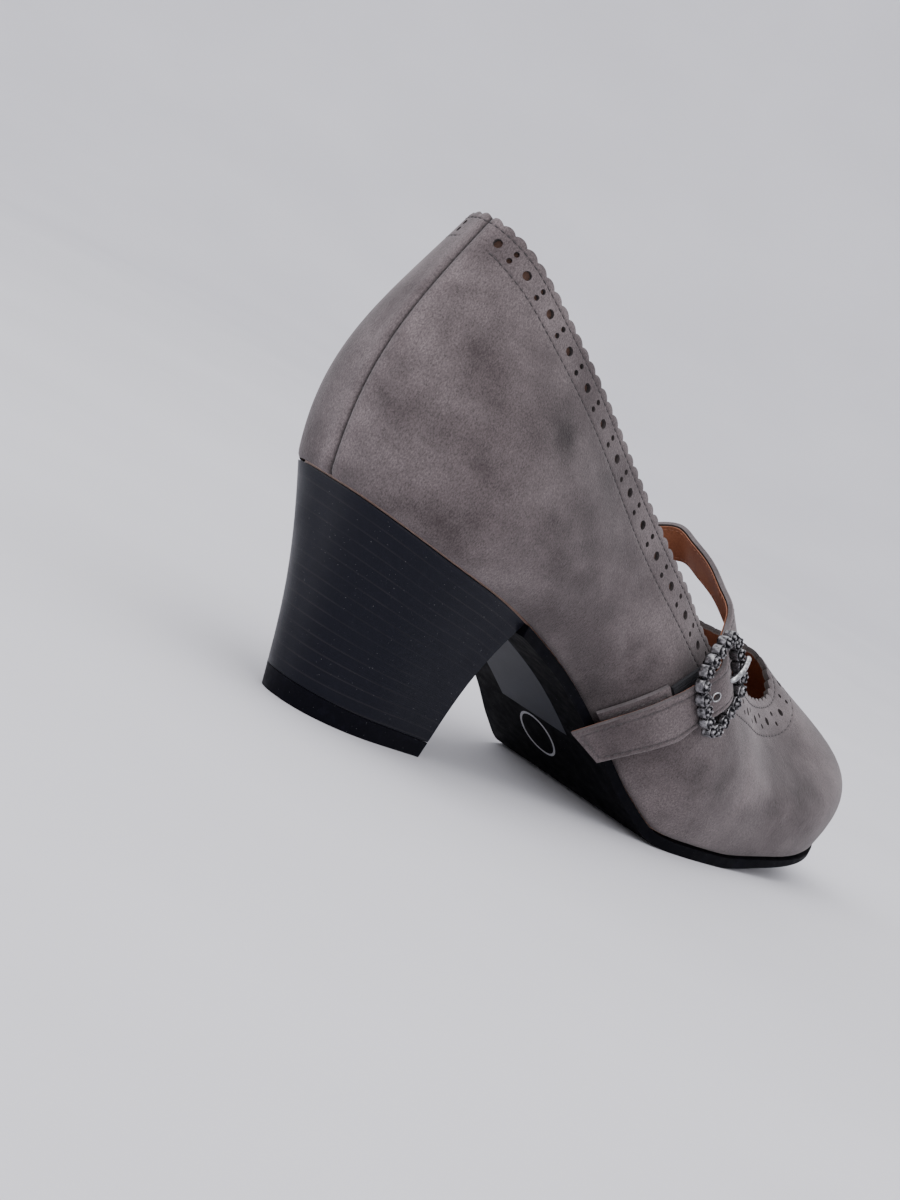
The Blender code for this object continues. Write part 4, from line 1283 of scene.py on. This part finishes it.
# The bare film and the ring printed under the waist: middle and size, in metres
FILM_MIDDLE = (1.5 * MM, 51.0 * MM)
FILM_SIZE = (27.0 * MM, 40.0 * MM)
FILM_THICKNESS = 0.08 * MM
RING_MIDDLE = (-0.9 * MM, 79.0 * MM)
RING_RADIUS = 6.4 * MM
RING_LINE = 0.35 * MM
RING_PROUD = 0.03 * MM


def make_under_waist():
    across, along = np.meshgrid(np.linspace(-0.5, 0.5, 13), np.linspace(-0.5, 0.5, 41))
    x = FILM_MIDDLE[0] + FILM_SIZE[0] * across.ravel()
    y = FILM_MIDDLE[1] + FILM_SIZE[1] * along.ravel()
    faces = [[a, a + 1, a + 14, a + 13] for a in range(13 * 40) if a % 13 < 12]
    film = wall_between("waist_film", under_sole(x, y, FILM_THICKNESS), under_sole(x, y, -0.2 * MM), faces,
                        (FINISH["film"],) * 3)
    turn_out(film)
    dress(film, "sole_black")
    turn = np.linspace(0, 2 * math.pi, 96, endpoint=False)
    rings = []
    for reach in (-RING_LINE, RING_LINE):
        for below in (RING_PROUD, -0.2 * MM):
            radius = RING_RADIUS + reach
            rings.append(under_sole(RING_MIDDLE[0] + radius * np.cos(turn), RING_MIDDLE[1] + radius * np.sin(turn),
                                    below))
    order = (0, 1, 3, 2)
    faces = []
    for first, second in zip(order, order[1:] + order[:1]):
        for i in range(96):
            j = (i + 1) % 96
            faces.append([first * 96 + i, first * 96 + j, second * 96 + j, second * 96 + i])
    ring = make_mesh("waist_ring", np.concatenate(rings), faces, (FINISH["ring"],))
    turn_out(ring)
    dress(ring, "sole_black")


def round_edges(piece, width):
    """Rounds a piece's sharp edges."""
    rounding = piece.modifiers.new("rounding", "BEVEL")
    rounding.width = width
    rounding.segments = 3
    rounding.limit_method = "ANGLE"
    rounding.angle_limit = math.radians(40)
    rounding.harden_normals = False


HEEL_ROWS = 56


def heel_ring(level):
    """Points round the heel at a level from 0, the floor, to 1, the seat."""
    shares = np.sin(np.linspace(0, math.pi / 2, HEEL_ROWS + 1))**2
    _, _, back, _ = feather_sides(0.0, -HEEL_INSET)
    breast = BACK_Y + BREAST_SHARE * LENGTH
    seat_y = back + (breast - back) * shares
    inner, outer, _, _ = feather_sides(seat_y, -HEEL_INSET)
    seat_z = sole_top(seat_y) - GAP
    floor_y = -HEEL_FLOOR_LENGTH / 2 + HEEL_FLOOR_LENGTH * shares
    from_round = 1 - np.minimum(shares / HEEL_ROUND_SHARE, 1)
    half = HEEL_FLOOR_WIDTH / 2 * (1 - from_round**HEEL_ROUND_POWER)**(1 / HEEL_ROUND_POWER)
    hollow = HEEL_HOLLOW * math.sin(math.pi * level)
    pull = 1 - 2 * hollow / HEEL_FLOOR_WIDTH
    ring = []
    for side, seat_x in ((1, outer), (-1, inner)):
        order = range(HEEL_ROWS + 1) if side == 1 else range(HEEL_ROWS, 0, -1)
        for i in order:
            x = side * half[i] * (1 - level) + seat_x[i] * level
            if i == 0:
                x = (outer[0] + inner[0]) / 2 * level
            y = floor_y[i] * (1 - level) + seat_y[i] * level + hollow * (1 - shares[i])
            ring.append((x * pull, y, seat_z[i] * level))
    return ring


def heel_part(name, low, high, steps, drop, finish_name, bevel):
    """A stack of heel rings from one level to another."""
    levels = np.linspace(low, high, steps + 1)
    size = 2 * HEEL_ROWS + 1
    points = []
    for level in levels:
        for x, y, z in heel_ring(level):
            points.append((x, y, z - (drop if level == levels[-1] else 0)))
    faces = []
    for k in range(steps):
        for i in range(size):
            j = (i + 1) % size
            faces.append([k * size + i, k * size + j, (k + 1) * size + j, (k + 1) * size + i])
    for base, flip in ((0, True), (steps * size, False)):
        for i in range(HEEL_ROWS):
            ring = [base + i, base + i + 1, base + size - i - 1, base + (size - i) % size]
            ring = list(dict.fromkeys(ring))
            faces.append(ring[::-1] if flip else ring)
    values = {"level": np.repeat(levels, size)}
    made = make_mesh(name, points, faces, (FINISH[finish_name],), values=values, sharp=35)
    turn_out(made)
    round_edges(made, bevel)
    return made


# Strap, tab, elastic and buckle

def band_mesh(name, band, half_width, length, top, bottom, finishes, holes=(), values_of=None, start=0.0):
    """A layer of a band between two lifts, with rounded edges and round holes."""
    columns = np.linspace(start, length, round((length - start) / (0.9 * MM)) + 1)
    across = np.array([0.25, 0.55, 0.95, 1.35, 1.6, 1.85, 2.3, 3.1, 4.2, 5.3])
    across = across[across < half_width / MM - 0.3] * MM
    rows = np.concatenate([-half_width + across, [0.0], half_width - across[::-1]])
    rows = np.unique(np.round(rows, 7))
    edge = np.concatenate([
        np.stack([columns, np.full(len(columns), -half_width)], 1),
        np.stack([np.full(len(rows), length), rows], 1),
        np.stack([columns, np.full(len(columns), half_width)], 1)[::-1],
        np.stack([np.full(len(rows), start), rows], 1)[::-1],
    ])
    flat_rows = [edge]
    loops = [(len(edge), True)]
    turn = np.linspace(0, 2 * math.pi, 20, endpoint=False)
    for run, aside, radius in holes:
        flat_rows.append(np.stack([run + radius * np.cos(turn), aside + radius * np.sin(turn)], 1))
        loops.append((len(turn), True))
    inside = np.stack(np.meshgrid(columns[1:-1], rows), -1).reshape(-1, 2)
    for run, aside, radius in holes:
        inside = inside[np.hypot(inside[:, 0] - run, inside[:, 1] - aside) > radius + 0.2 * MM]
    flat_rows.append(inside)

    def keep(centres):
        kept = np.full(len(centres), True)
        for run, aside, radius in holes:
            kept &= np.hypot(centres[:, 0] - run, centres[:, 1] - aside) > 0.955 * radius
        return kept

    flat, faces = triangulate(np.concatenate(flat_rows), loops, keep)
    run, aside = flat.T
    from_edge = np.minimum(half_width - np.abs(aside), np.minimum(run - start, length - run))
    fall = np.maximum(1 - from_edge / (0.8 * MM), 0)**2
    groove = bell(from_edge - STRAP_ROW, GROOVE_WIDTH)
    upper = band(run, aside, top - 0.35 * MM * fall - (GROOVE * groove if values_of else 0))
    lower = band(run, aside, np.full(len(run), bottom))
    faces = [face[::-1] for face in faces]
    values = None
    if values_of:
        values = {"groove": 0.40 * groove, "tone_and_shade": values_of(run, aside)}
    return wall_between(name, lower, upper, faces, (finishes[1], finishes[0], finishes[2]), values)


STRAP_ROW = 1.6 * MM
STRAP_LINING = 0.5 * MM
STRAP_LINING_INSET = 0.4 * MM
STRAP_LINING_END = 0.2 * MM


def make_strap():
    offsets = (-STRAP_WIDTH / 2, 0.0, STRAP_WIDTH / 2)
    lines = [open_curve(strap_edge(offset), 400) for offset in offsets]
    band = Band(lines, offsets)
    half = STRAP_WIDTH / 2
    thick = STRAP_THICKNESS / 2
    prong_run = band.run_near(BUCKLE_CENTRE + TOWARDS_ARCH * PRONG_HOLE_PLACE)
    hole_runs = (prong_run, prong_run + STRAP_HOLE_STEP)
    holes = [(run, 0.0, STRAP_HOLE / 2) for run in hole_runs]
    suede = band_mesh("strap_suede", band, half, band.length, thick, -thick + STRAP_LINING + 0.03 * MM,
                      (FINISH["suede"], FINISH["cut_edge"], FINISH["raw_edge"]), holes,
                      lambda run, aside: 0.16 + 0.12 * np.sin(run * 90))
    dress(suede, "suede", "strap")
    lining = band_mesh("strap_lining", band, half - STRAP_LINING_INSET, band.length - STRAP_LINING_END,
                       -thick + STRAP_LINING, -thick,
                       (FINISH["cognac"], FINISH["cognac"], FINISH["cognac_cut"]), holes, start=0.1 * MM)
    dress(lining, "lining_leather")
    runs = np.arange(2.0 * MM, band.length - 2.0 * MM, STITCH_PITCH)
    rows = [row_on(band, runs, side * (half - STRAP_ROW), thick - GROOVE + 0.05 * MM) for side in (-1, 1)]
    across = np.arange(-half + 2.4 * MM, half - 2.0 * MM, STITCH_PITCH)
    rows.append(row_on(band, np.full(len(across), band.length - STRAP_ROW), across,
                       thick - GROOVE + 0.05 * MM, False))
    stitches("strap_stitches", rows, "pale_thread", "suede")
    rows = [row_on(band, runs, side * (half - STRAP_ROW), -thick - 0.02 * MM) for side in (-1, 1)]
    stitches("strap_lining_stitches", rows, "orange_thread", "lining_leather", width=0.28 * MM)
    eyelets = []
    turn = np.linspace(0, 2 * math.pi, 28, endpoint=False)
    ring = STRAP_HOLE / 2 + 0.10 * MM
    for run in hole_runs[1:]:
        path = band(run + ring * np.cos(turn), ring * np.sin(turn), thick + 0.05 * MM)
        eyelets.append(sweep(path, np.full(len(turn), 0.24 * MM), 10, closed=True))
    points, faces = joined(eyelets)
    eyelet = make_mesh("strap_eyelet", points, faces, (FINISH["bright"],),
                       values={"groove": np.zeros(len(points))})
    turn_out(eyelet)
    dress(eyelet, "old_silver")


STRAP_HOLE = 2.5 * MM
STRAP_HOLE_STEP = 7.6 * MM


def make_tab():
    offsets = [TAB_WIDTH * share - TAB_BACK_SHIFT for share in (-0.5, 0.0, 0.5)]
    foot = side_profile(0.0, 1)[0, 1]
    lines = []
    for offset in offsets:
        profile = side_profile(offset, 1)
        heights = np.linspace(foot + TAB_LENGTH, profile[0, 1] + TAB_THICKNESS, 40)
        lines.append([beside(profile, height, LAID_TAB) for height in heights])
    band = Band(lines, offsets)
    half = TAB_WIDTH / 2
    thick = TAB_THICKNESS / 2
    tab = band_mesh("tab_suede", band, half, band.length, thick, -thick,
                    (FINISH["suede"], FINISH["cut_edge"], FINISH["raw_edge"]), (),
                    lambda run, aside: 0 * run)
    dress(tab, "suede", "anchor_tab")
    runs = np.arange(2.0 * MM, band.length - MM, STITCH_PITCH)
    rows = [row_on(band, runs, side * (half - STRAP_ROW), thick - GROOVE + 0.05 * MM) for side in (-1, 1)]
    across = np.arange(-half + 2.4 * MM, half - 2.0 * MM, STITCH_PITCH)
    rows.append(row_on(band, np.full(len(across), STRAP_ROW), across, thick - GROOVE + 0.05 * MM, False))
    stitches("tab_stitches", rows, "pale_thread", "suede")


def make_elastic():
    drop = BUCKLE_BAR_DROP + BUCKLE_BAR / 2 + GAP + ELASTIC_THICKNESS / 2
    under_bar = BUCKLE_CENTRE - BUCKLE_OUTWARD * drop
    past_bar = under_bar + TOWARDS_ARCH * BUCKLE_BAR / 2
    foot = side_profile(0.0, 1)[0, 1]
    offsets = [ELASTIC_WIDTH * share - TAB_BACK_SHIFT for share in (-0.5, 0.0, 0.5)]
    lines = []
    for offset in offsets:
        start = beside(side_profile(offset, 1), foot + TAB_LENGTH + GAP * 2, LAID_TAB)
        lines.append(open_curve([past_bar, under_bar, start * 0.35 + under_bar * 0.65, start], 60))
    band = Band(lines, offsets)
    thick = ELASTIC_THICKNESS / 2
    count = 60
    ribs = 13
    along = np.linspace(0, band.length, count)
    across = np.linspace(-1, 1, 4 * ribs + 1) * ELASTIC_WIDTH / 2
    run, aside = [part.ravel() for part in np.meshgrid(along, across, indexing="ij")]
    size = len(across)
    faces = []
    for i in range(count - 1):
        for k in range(size - 1):
            a = i * size + k
            faces.append([a, a + 1, a + size + 1, a + size])
    ribbed = 0.16 * MM * np.abs(np.sin(aside / ELASTIC_WIDTH * ribs * math.pi))
    upper = band(run, aside, thick + ribbed - 0.16 * MM)
    lower = band(run, aside, -thick)
    elastic = wall_between("elastic_band", upper, lower, faces, (FINISH["elastic"],) * 3)
    turn_out(elastic)
    dress(elastic, "elastic_black", "elastic_loop")


# One bead of the buckle, from below to its knob. height and radius: shares of the bead's radius.
# flute: how deep its petals are cut. groove: how dark the hollow is.
BEAD_PROFILE = {
    "under": (-0.98, 0.00, 0.00, 0.7),
    "foot": (-0.94, 0.66, 0.00, 0.7),
    "side_foot": (-0.80, 0.90, 0.02, 0.4),
    "side_low": (-0.62, 0.94, 0.03, 0.1),
    "side_high": (0.40, 0.94, 0.03, 0.0),
    "side_top": (0.50, 0.90, 0.04, 0.1),
    "shelf": (0.52, 0.82, 0.05, 0.9),
    "petal_foot": (0.60, 0.80, 0.08, 0.4),
    "petal_out": (0.86, 0.74, 0.13, 0.0),
    "petal": (0.96, 0.62, 0.13, 0.0),
    "petal_in": (0.84, 0.50, 0.08, 0.5),
    "moat": (0.40, 0.40, 0.02, 1.0),
    "knob_foot": (0.44, 0.30, 0.00, 0.9),
    "knob": (0.80, 0.24, 0.00, 0.1),
    "tip": (0.92, 0.00, 0.00, 0.0),
}
BEAD = 1.95 * MM
BEADS = 19
PETALS = 5
BEAD_FACETS = 4
BEAD_SQUARE = 0.10
BEAD_SIDE_TOP = 0.5


def bead(middle, outward, radial):
    """One rosette bead that looks outward."""
    rows = np.array(list(BEAD_PROFILE.values()))
    sides = 36
    turn = np.linspace(0, 2 * math.pi, sides, endpoint=False)
    side = np.cross(outward, radial)
    points = []
    groove = []
    square = 1 + BEAD_SQUARE * (1 - np.cos(BEAD_FACETS * turn)) / 2
    for height, radius, flute, dark in rows:
        wave = 1 + flute * np.cos(PETALS * turn)
        ring = radius * (wave if height > BEAD_SIDE_TOP else square)
        points.append(
            middle
            + BEAD * (height * (1 + 0.5 * (wave - 1)))[:, None] * outward
            + BEAD * (ring * np.cos(turn))[:, None] * radial
            + BEAD * (ring * np.sin(turn))[:, None] * side
        )
        groove.append(np.clip(dark + (0.5 - 0.5 * np.cos(PETALS * turn)) * flute * 5, 0, 1))
    faces = []
    for i in range(len(rows) - 1):
        for k in range(sides):
            m = (k + 1) % sides
            faces.append([i * sides + k, i * sides + m, (i + 1) * sides + m, (i + 1) * sides + k])
    return np.concatenate(points), faces, np.concatenate(groove)


def make_buckle():
    half_width = (BUCKLE_WIDTH - BUCKLE_RIM) / 2
    turn = np.linspace(0, 2 * math.pi, 720, endpoint=False)
    along = np.sign(np.cos(turn)) * np.abs(np.cos(turn))**RIM_SQUARENESS * RIM_REACH
    across = np.sign(np.sin(turn)) * np.abs(np.sin(turn))**RIM_SQUARENESS * half_width
    outline = np.stack([along, across], 1)
    steps = np.linalg.norm(np.roll(outline, -1, 0) - outline, axis=1)
    runs = np.concatenate([[0], np.cumsum(steps)])
    closed = np.vstack([outline, outline[:1]])

    def rim(places):
        flat = np.stack([np.interp(places, runs, closed[:, k]) for k in (0, 1)], 1)
        return in_strap_planes(BUCKLE_CENTRE + flat[:, :1] * TOWARDS_ARCH, flat[:, 1])

    outward = BUCKLE_OUTWARD[0] * np.array([1.0, 0, 0]) + BUCKLE_OUTWARD[1] * STRAP_UP
    centre = in_strap_planes(BUCKLE_CENTRE[None, :], 0.0)[0]
    shapes = []
    grooves = []
    core = rim(np.linspace(0, runs[-1], 120, endpoint=False))
    shapes.append(sweep(core, np.full(120, 0.95 * MM), 12, closed=True))
    grooves.append(np.full(len(shapes[-1][0]), 0.8))
    bar_place = BUCKLE_CENTRE - BUCKLE_OUTWARD * BUCKLE_BAR_DROP
    ends = in_strap_planes(np.array([bar_place, bar_place]), np.array([-half_width, half_width]))
    bar = np.linspace(0, 1, 24)[:, None] * (ends[1] - ends[0]) + ends[0]
    shapes.append(sweep(bar, np.full(24, BUCKLE_BAR / 2), 14))
    grooves.append(np.full(len(shapes[-1][0]), 0.35))
    middles = rim((np.arange(BEADS) + 0.5) * runs[-1] / BEADS)
    for middle in middles:
        radial = middle - centre
        radial -= outward * (radial @ outward)
        radial /= np.linalg.norm(radial)
        points, faces, groove = bead(middle, outward, radial)
        shapes.append((points, faces))
        grooves.append(groove)
    points, faces = joined(shapes)
    buckle = make_mesh("buckle_beads", points, faces, (FINISH["silver"],),
                       values={"groove": np.concatenate(grooves)}, sharp=60)
    weld(buckle)
    dress(buckle, "old_silver", "buckle_frame")


def weld(piece):
    """Merges points that lie on one another, and turns the faces outward."""
    edit = bmesh.new()
    edit.from_mesh(piece.data)
    bmesh.ops.remove_doubles(edit, verts=edit.verts, dist=0.000002)
    bmesh.ops.dissolve_degenerate(edit, edges=edit.edges, dist=0.000001)
    bmesh.ops.recalc_face_normals(edit, faces=edit.faces)
    edit.to_mesh(piece.data)
    edit.free()


def make_prong():
    radius = PRONG / 2
    beside_bar = BUCKLE_BAR / 2 + GAP + radius
    strap_face = STRAP_OVER_BAR - RIM_HEIGHT + STRAP_THICKNESS / 2
    over_rim = BUCKLE_RIM / 2 + GAP + radius
    route = (
        (beside_bar, -BUCKLE_BAR_DROP),
        (PRONG_HOLE_PLACE - radius * 0.4, 0.0),
        (PRONG_HOLE_PLACE, strap_face),
        (PRONG_HOLE_PLACE + radius * 2, over_rim),
        (RIM_REACH * 0.7, over_rim + GAP),
        (RIM_REACH, over_rim),
        (RIM_REACH + PRONG, over_rim - GAP),
    )
    flat = np.array([BUCKLE_CENTRE + TOWARDS_ARCH * along + BUCKLE_OUTWARD * height for along, height in route])
    line = open_curve(flat, 70)
    path = in_strap_planes(line, 0.0)
    runs = np.linspace(0, 1, 70) * np.linalg.norm(np.diff(path, axis=0), axis=1).sum()
    from_end = np.minimum(runs, runs[-1] - runs)
    radii = radius * np.sqrt(np.clip(1 - (1 - np.minimum(from_end / radius, 1))**2, 0.02, 1))
    points, faces = sweep(path, radii, 20)
    prong = make_mesh("prong_pin", points, faces, (FINISH["bright"],), values={"groove": np.zeros(len(points))})
    turn_out(prong)
    dress(prong, "old_silver", "buckle_prong")


# Scene

def turning(start, end):
    """The rotation that takes one direction to another."""
    axis = np.cross(start, end)
    size = np.linalg.norm(axis)
    if size < 1e-12:
        return np.eye(3)
    axis /= size
    skew = np.array([[0, -axis[2], axis[1]], [axis[2], 0, -axis[0]], [-axis[1], axis[0], 0]])
    return np.eye(3) + size * skew + (1 - start @ end) * skew @ skew


def make_camera():
    """The photograph's view: rolled, with the target off the middle of the frame."""
    azimuth, elevation, roll = np.radians([CAMERA_AZIMUTH, CAMERA_ELEVATION, CAMERA_ROLL])
    back = np.array([math.sin(azimuth) * math.cos(elevation), -math.cos(azimuth) * math.cos(elevation),
                     math.sin(elevation)])
    right = np.cross(-back, [0, 0, 1.0])
    right /= np.linalg.norm(right)
    down = np.cross(-back, right)
    level = np.stack([
        math.cos(roll) * right - math.sin(roll) * down,
        math.sin(roll) * right + math.cos(roll) * down,
        -back,
    ])
    middle = np.array(PHOTO_SIZE) / 2
    aim = np.append((np.array(TARGET_PIXEL) - middle) / FOCAL_PIXELS, 1.0)
    aim /= np.linalg.norm(aim)
    axes = turning(np.array([0, 0, 1.0]), aim) @ level
    data = bpy.data.cameras.new("camera")
    data.lens = FOCAL_PIXELS * data.sensor_width / max(PHOTO_SIZE)
    data.clip_start = 0.05
    data.clip_end = 50
    camera = bpy.data.objects.new("camera", data)
    bpy.context.scene.collection.objects.link(camera)
    matrix = np.eye(4)
    matrix[:3, 0] = axes[0]
    matrix[:3, 1] = -axes[1]
    matrix[:3, 2] = -axes[2]
    matrix[:3, 3] = np.array(CAMERA_TARGET) + back * CAMERA_DISTANCE
    camera.matrix_world = Matrix(matrix.tolist())
    bpy.context.scene.camera = camera
    return matrix


def make_floor():
    """A pale floor that curves up behind the shoe on every side, like a paper sweep."""
    rings = 40
    sides = 96
    flat_to = 1.6
    bend = 1.2
    points = [(0, 0, 0)]
    for k in range(1, rings + 1):
        share = k / rings
        if share < 0.4:
            reach, height = flat_to * share / 0.4, 0.0
        else:
            turn = (share - 0.4) / 0.6 * math.radians(85)
            reach, height = flat_to + bend * math.sin(turn), bend * (1 - math.cos(turn))
        for i in range(sides):
            angle = 2 * math.pi * i / sides
            points.append((reach * math.cos(angle), reach * math.sin(angle), height))
    faces = [[0, 1 + i, 1 + (i + 1) % sides] for i in range(sides)]
    for k in range(rings - 1):
        for i in range(sides):
            a = 1 + k * sides + i
            b = 1 + k * sides + (i + 1) % sides
            faces.append([a, a + sides, b + sides, b])
    paper, tree, shader = finish("paper", (0.60, 0.60, 0.63), 0.9)
    shade = spread(tree, noise(tree, 6, 3.0), 0.3, 0.7)
    tree.links.new(blend(tree, shade, (0.630, 0.620, 0.650), (0.670, 0.660, 0.690)), shader.inputs["Base Color"])
    bump(tree, shader, ((noise(tree, 300, 2.0), 0.0003, 0.25),))
    floor = make_mesh("floor", points, faces, (paper,))


def area_light(name, place, look_at, size, power, colour):
    """A soft box that looks at a point."""
    data = bpy.data.lights.new(name, "AREA")
    data.shape = "RECTANGLE"
    data.size = size[0]
    data.size_y = size[1]
    data.energy = power
    data.color = colour
    light = bpy.data.objects.new(name, data)
    bpy.context.scene.collection.objects.link(light)
    back = np.array(place, float) - np.array(look_at, float)
    back /= np.linalg.norm(back)
    side = np.cross([0.1, 0.2, 1.0], back)
    side /= np.linalg.norm(side)
    matrix = np.eye(4)
    matrix[:3, 0] = side
    matrix[:3, 1] = np.cross(back, side)
    matrix[:3, 2] = back
    matrix[:3, 3] = place
    light.matrix_world = Matrix(matrix.tolist())


def make_light(view):
    """Big soft boxes above and beside the view, and an even pale surround."""
    right, up, back = view[:3, 0], view[:3, 1], view[:3, 2]
    target = np.array(CAMERA_TARGET)
    high = target + up * 0.75 + back * 0.35 + right * 0.15 + np.array([0, 0, 0.45])
    area_light("key", high, target, (1.1, 0.9), 5.0, (1.0, 0.985, 0.98))
    left = target - right * 0.95 + back * 0.10 + np.array([0, 0, 0.35])
    area_light("left", left, target, (0.5, 0.9), 3.0, (0.95, 0.97, 1.0))
    front = target + back * 1.2 + right * 0.45 - up * 0.10 + np.array([0, 0, 0.10])
    area_light("front", front, target, (0.7, 0.7), 5.0, (1.0, 0.99, 0.985))
    world = bpy.data.worlds.new("surround")
    world.use_nodes = True
    backdrop = world.node_tree.nodes["Background"]
    backdrop.inputs["Color"].default_value = (0.94, 0.95, 1.0, 1.0)
    backdrop.inputs["Strength"].default_value = 1.62
    bpy.context.scene.world = world


def main():
    view = make_camera()
    make_floor()
    make_light(view)
    make_suede()
    vamp_start = 0.345 * TOPLINE
    vamp_end = 0.655 * TOPLINE
    make_lining("vamp_lining", vamp_start, vamp_end, -0.1 * MM, FINISH["cognac"], "lining_leather")
    make_lining("quarter_lining", vamp_end + 0.2 * MM, TOPLINE + vamp_start - 0.2 * MM, -0.2 * MM,
                FINISH["pale"], "insole_leather")
    upper_stitches()
    dress(plate("sock", None, -(UPPER_WALL + GAP), INSOLE_THICKNESS, insole_thickness, 120, 20, 0.5 * MM,
                "pale", 0.5 * MM), "insole_leather", "insole")
    dress(plate("sole", BACK_Y + BREAST_SHARE * LENGTH + GAP, SOLE_MARGIN, -GAP, outsole_thickness, 120, 20,
                0.0, "sole", 0.6 * MM), "sole_black", "outsole")
    top_level = TOP_PIECE_HEIGHT / SEAT_HEIGHT
    dress(heel_part("top_piece", 0.0, top_level, 6, GAP / 2, "top_piece", 0.35 * MM), "sole_black",
          "heel_top_piece")
    dress(heel_part("heel", top_level, 1.0, 50, 0.0, "heel", 0.25 * MM), "heel_black", "heel_block")
    make_under_waist()
    make_strap()
    make_tab()
    make_elastic()
    make_buckle()
    make_prong()


main()
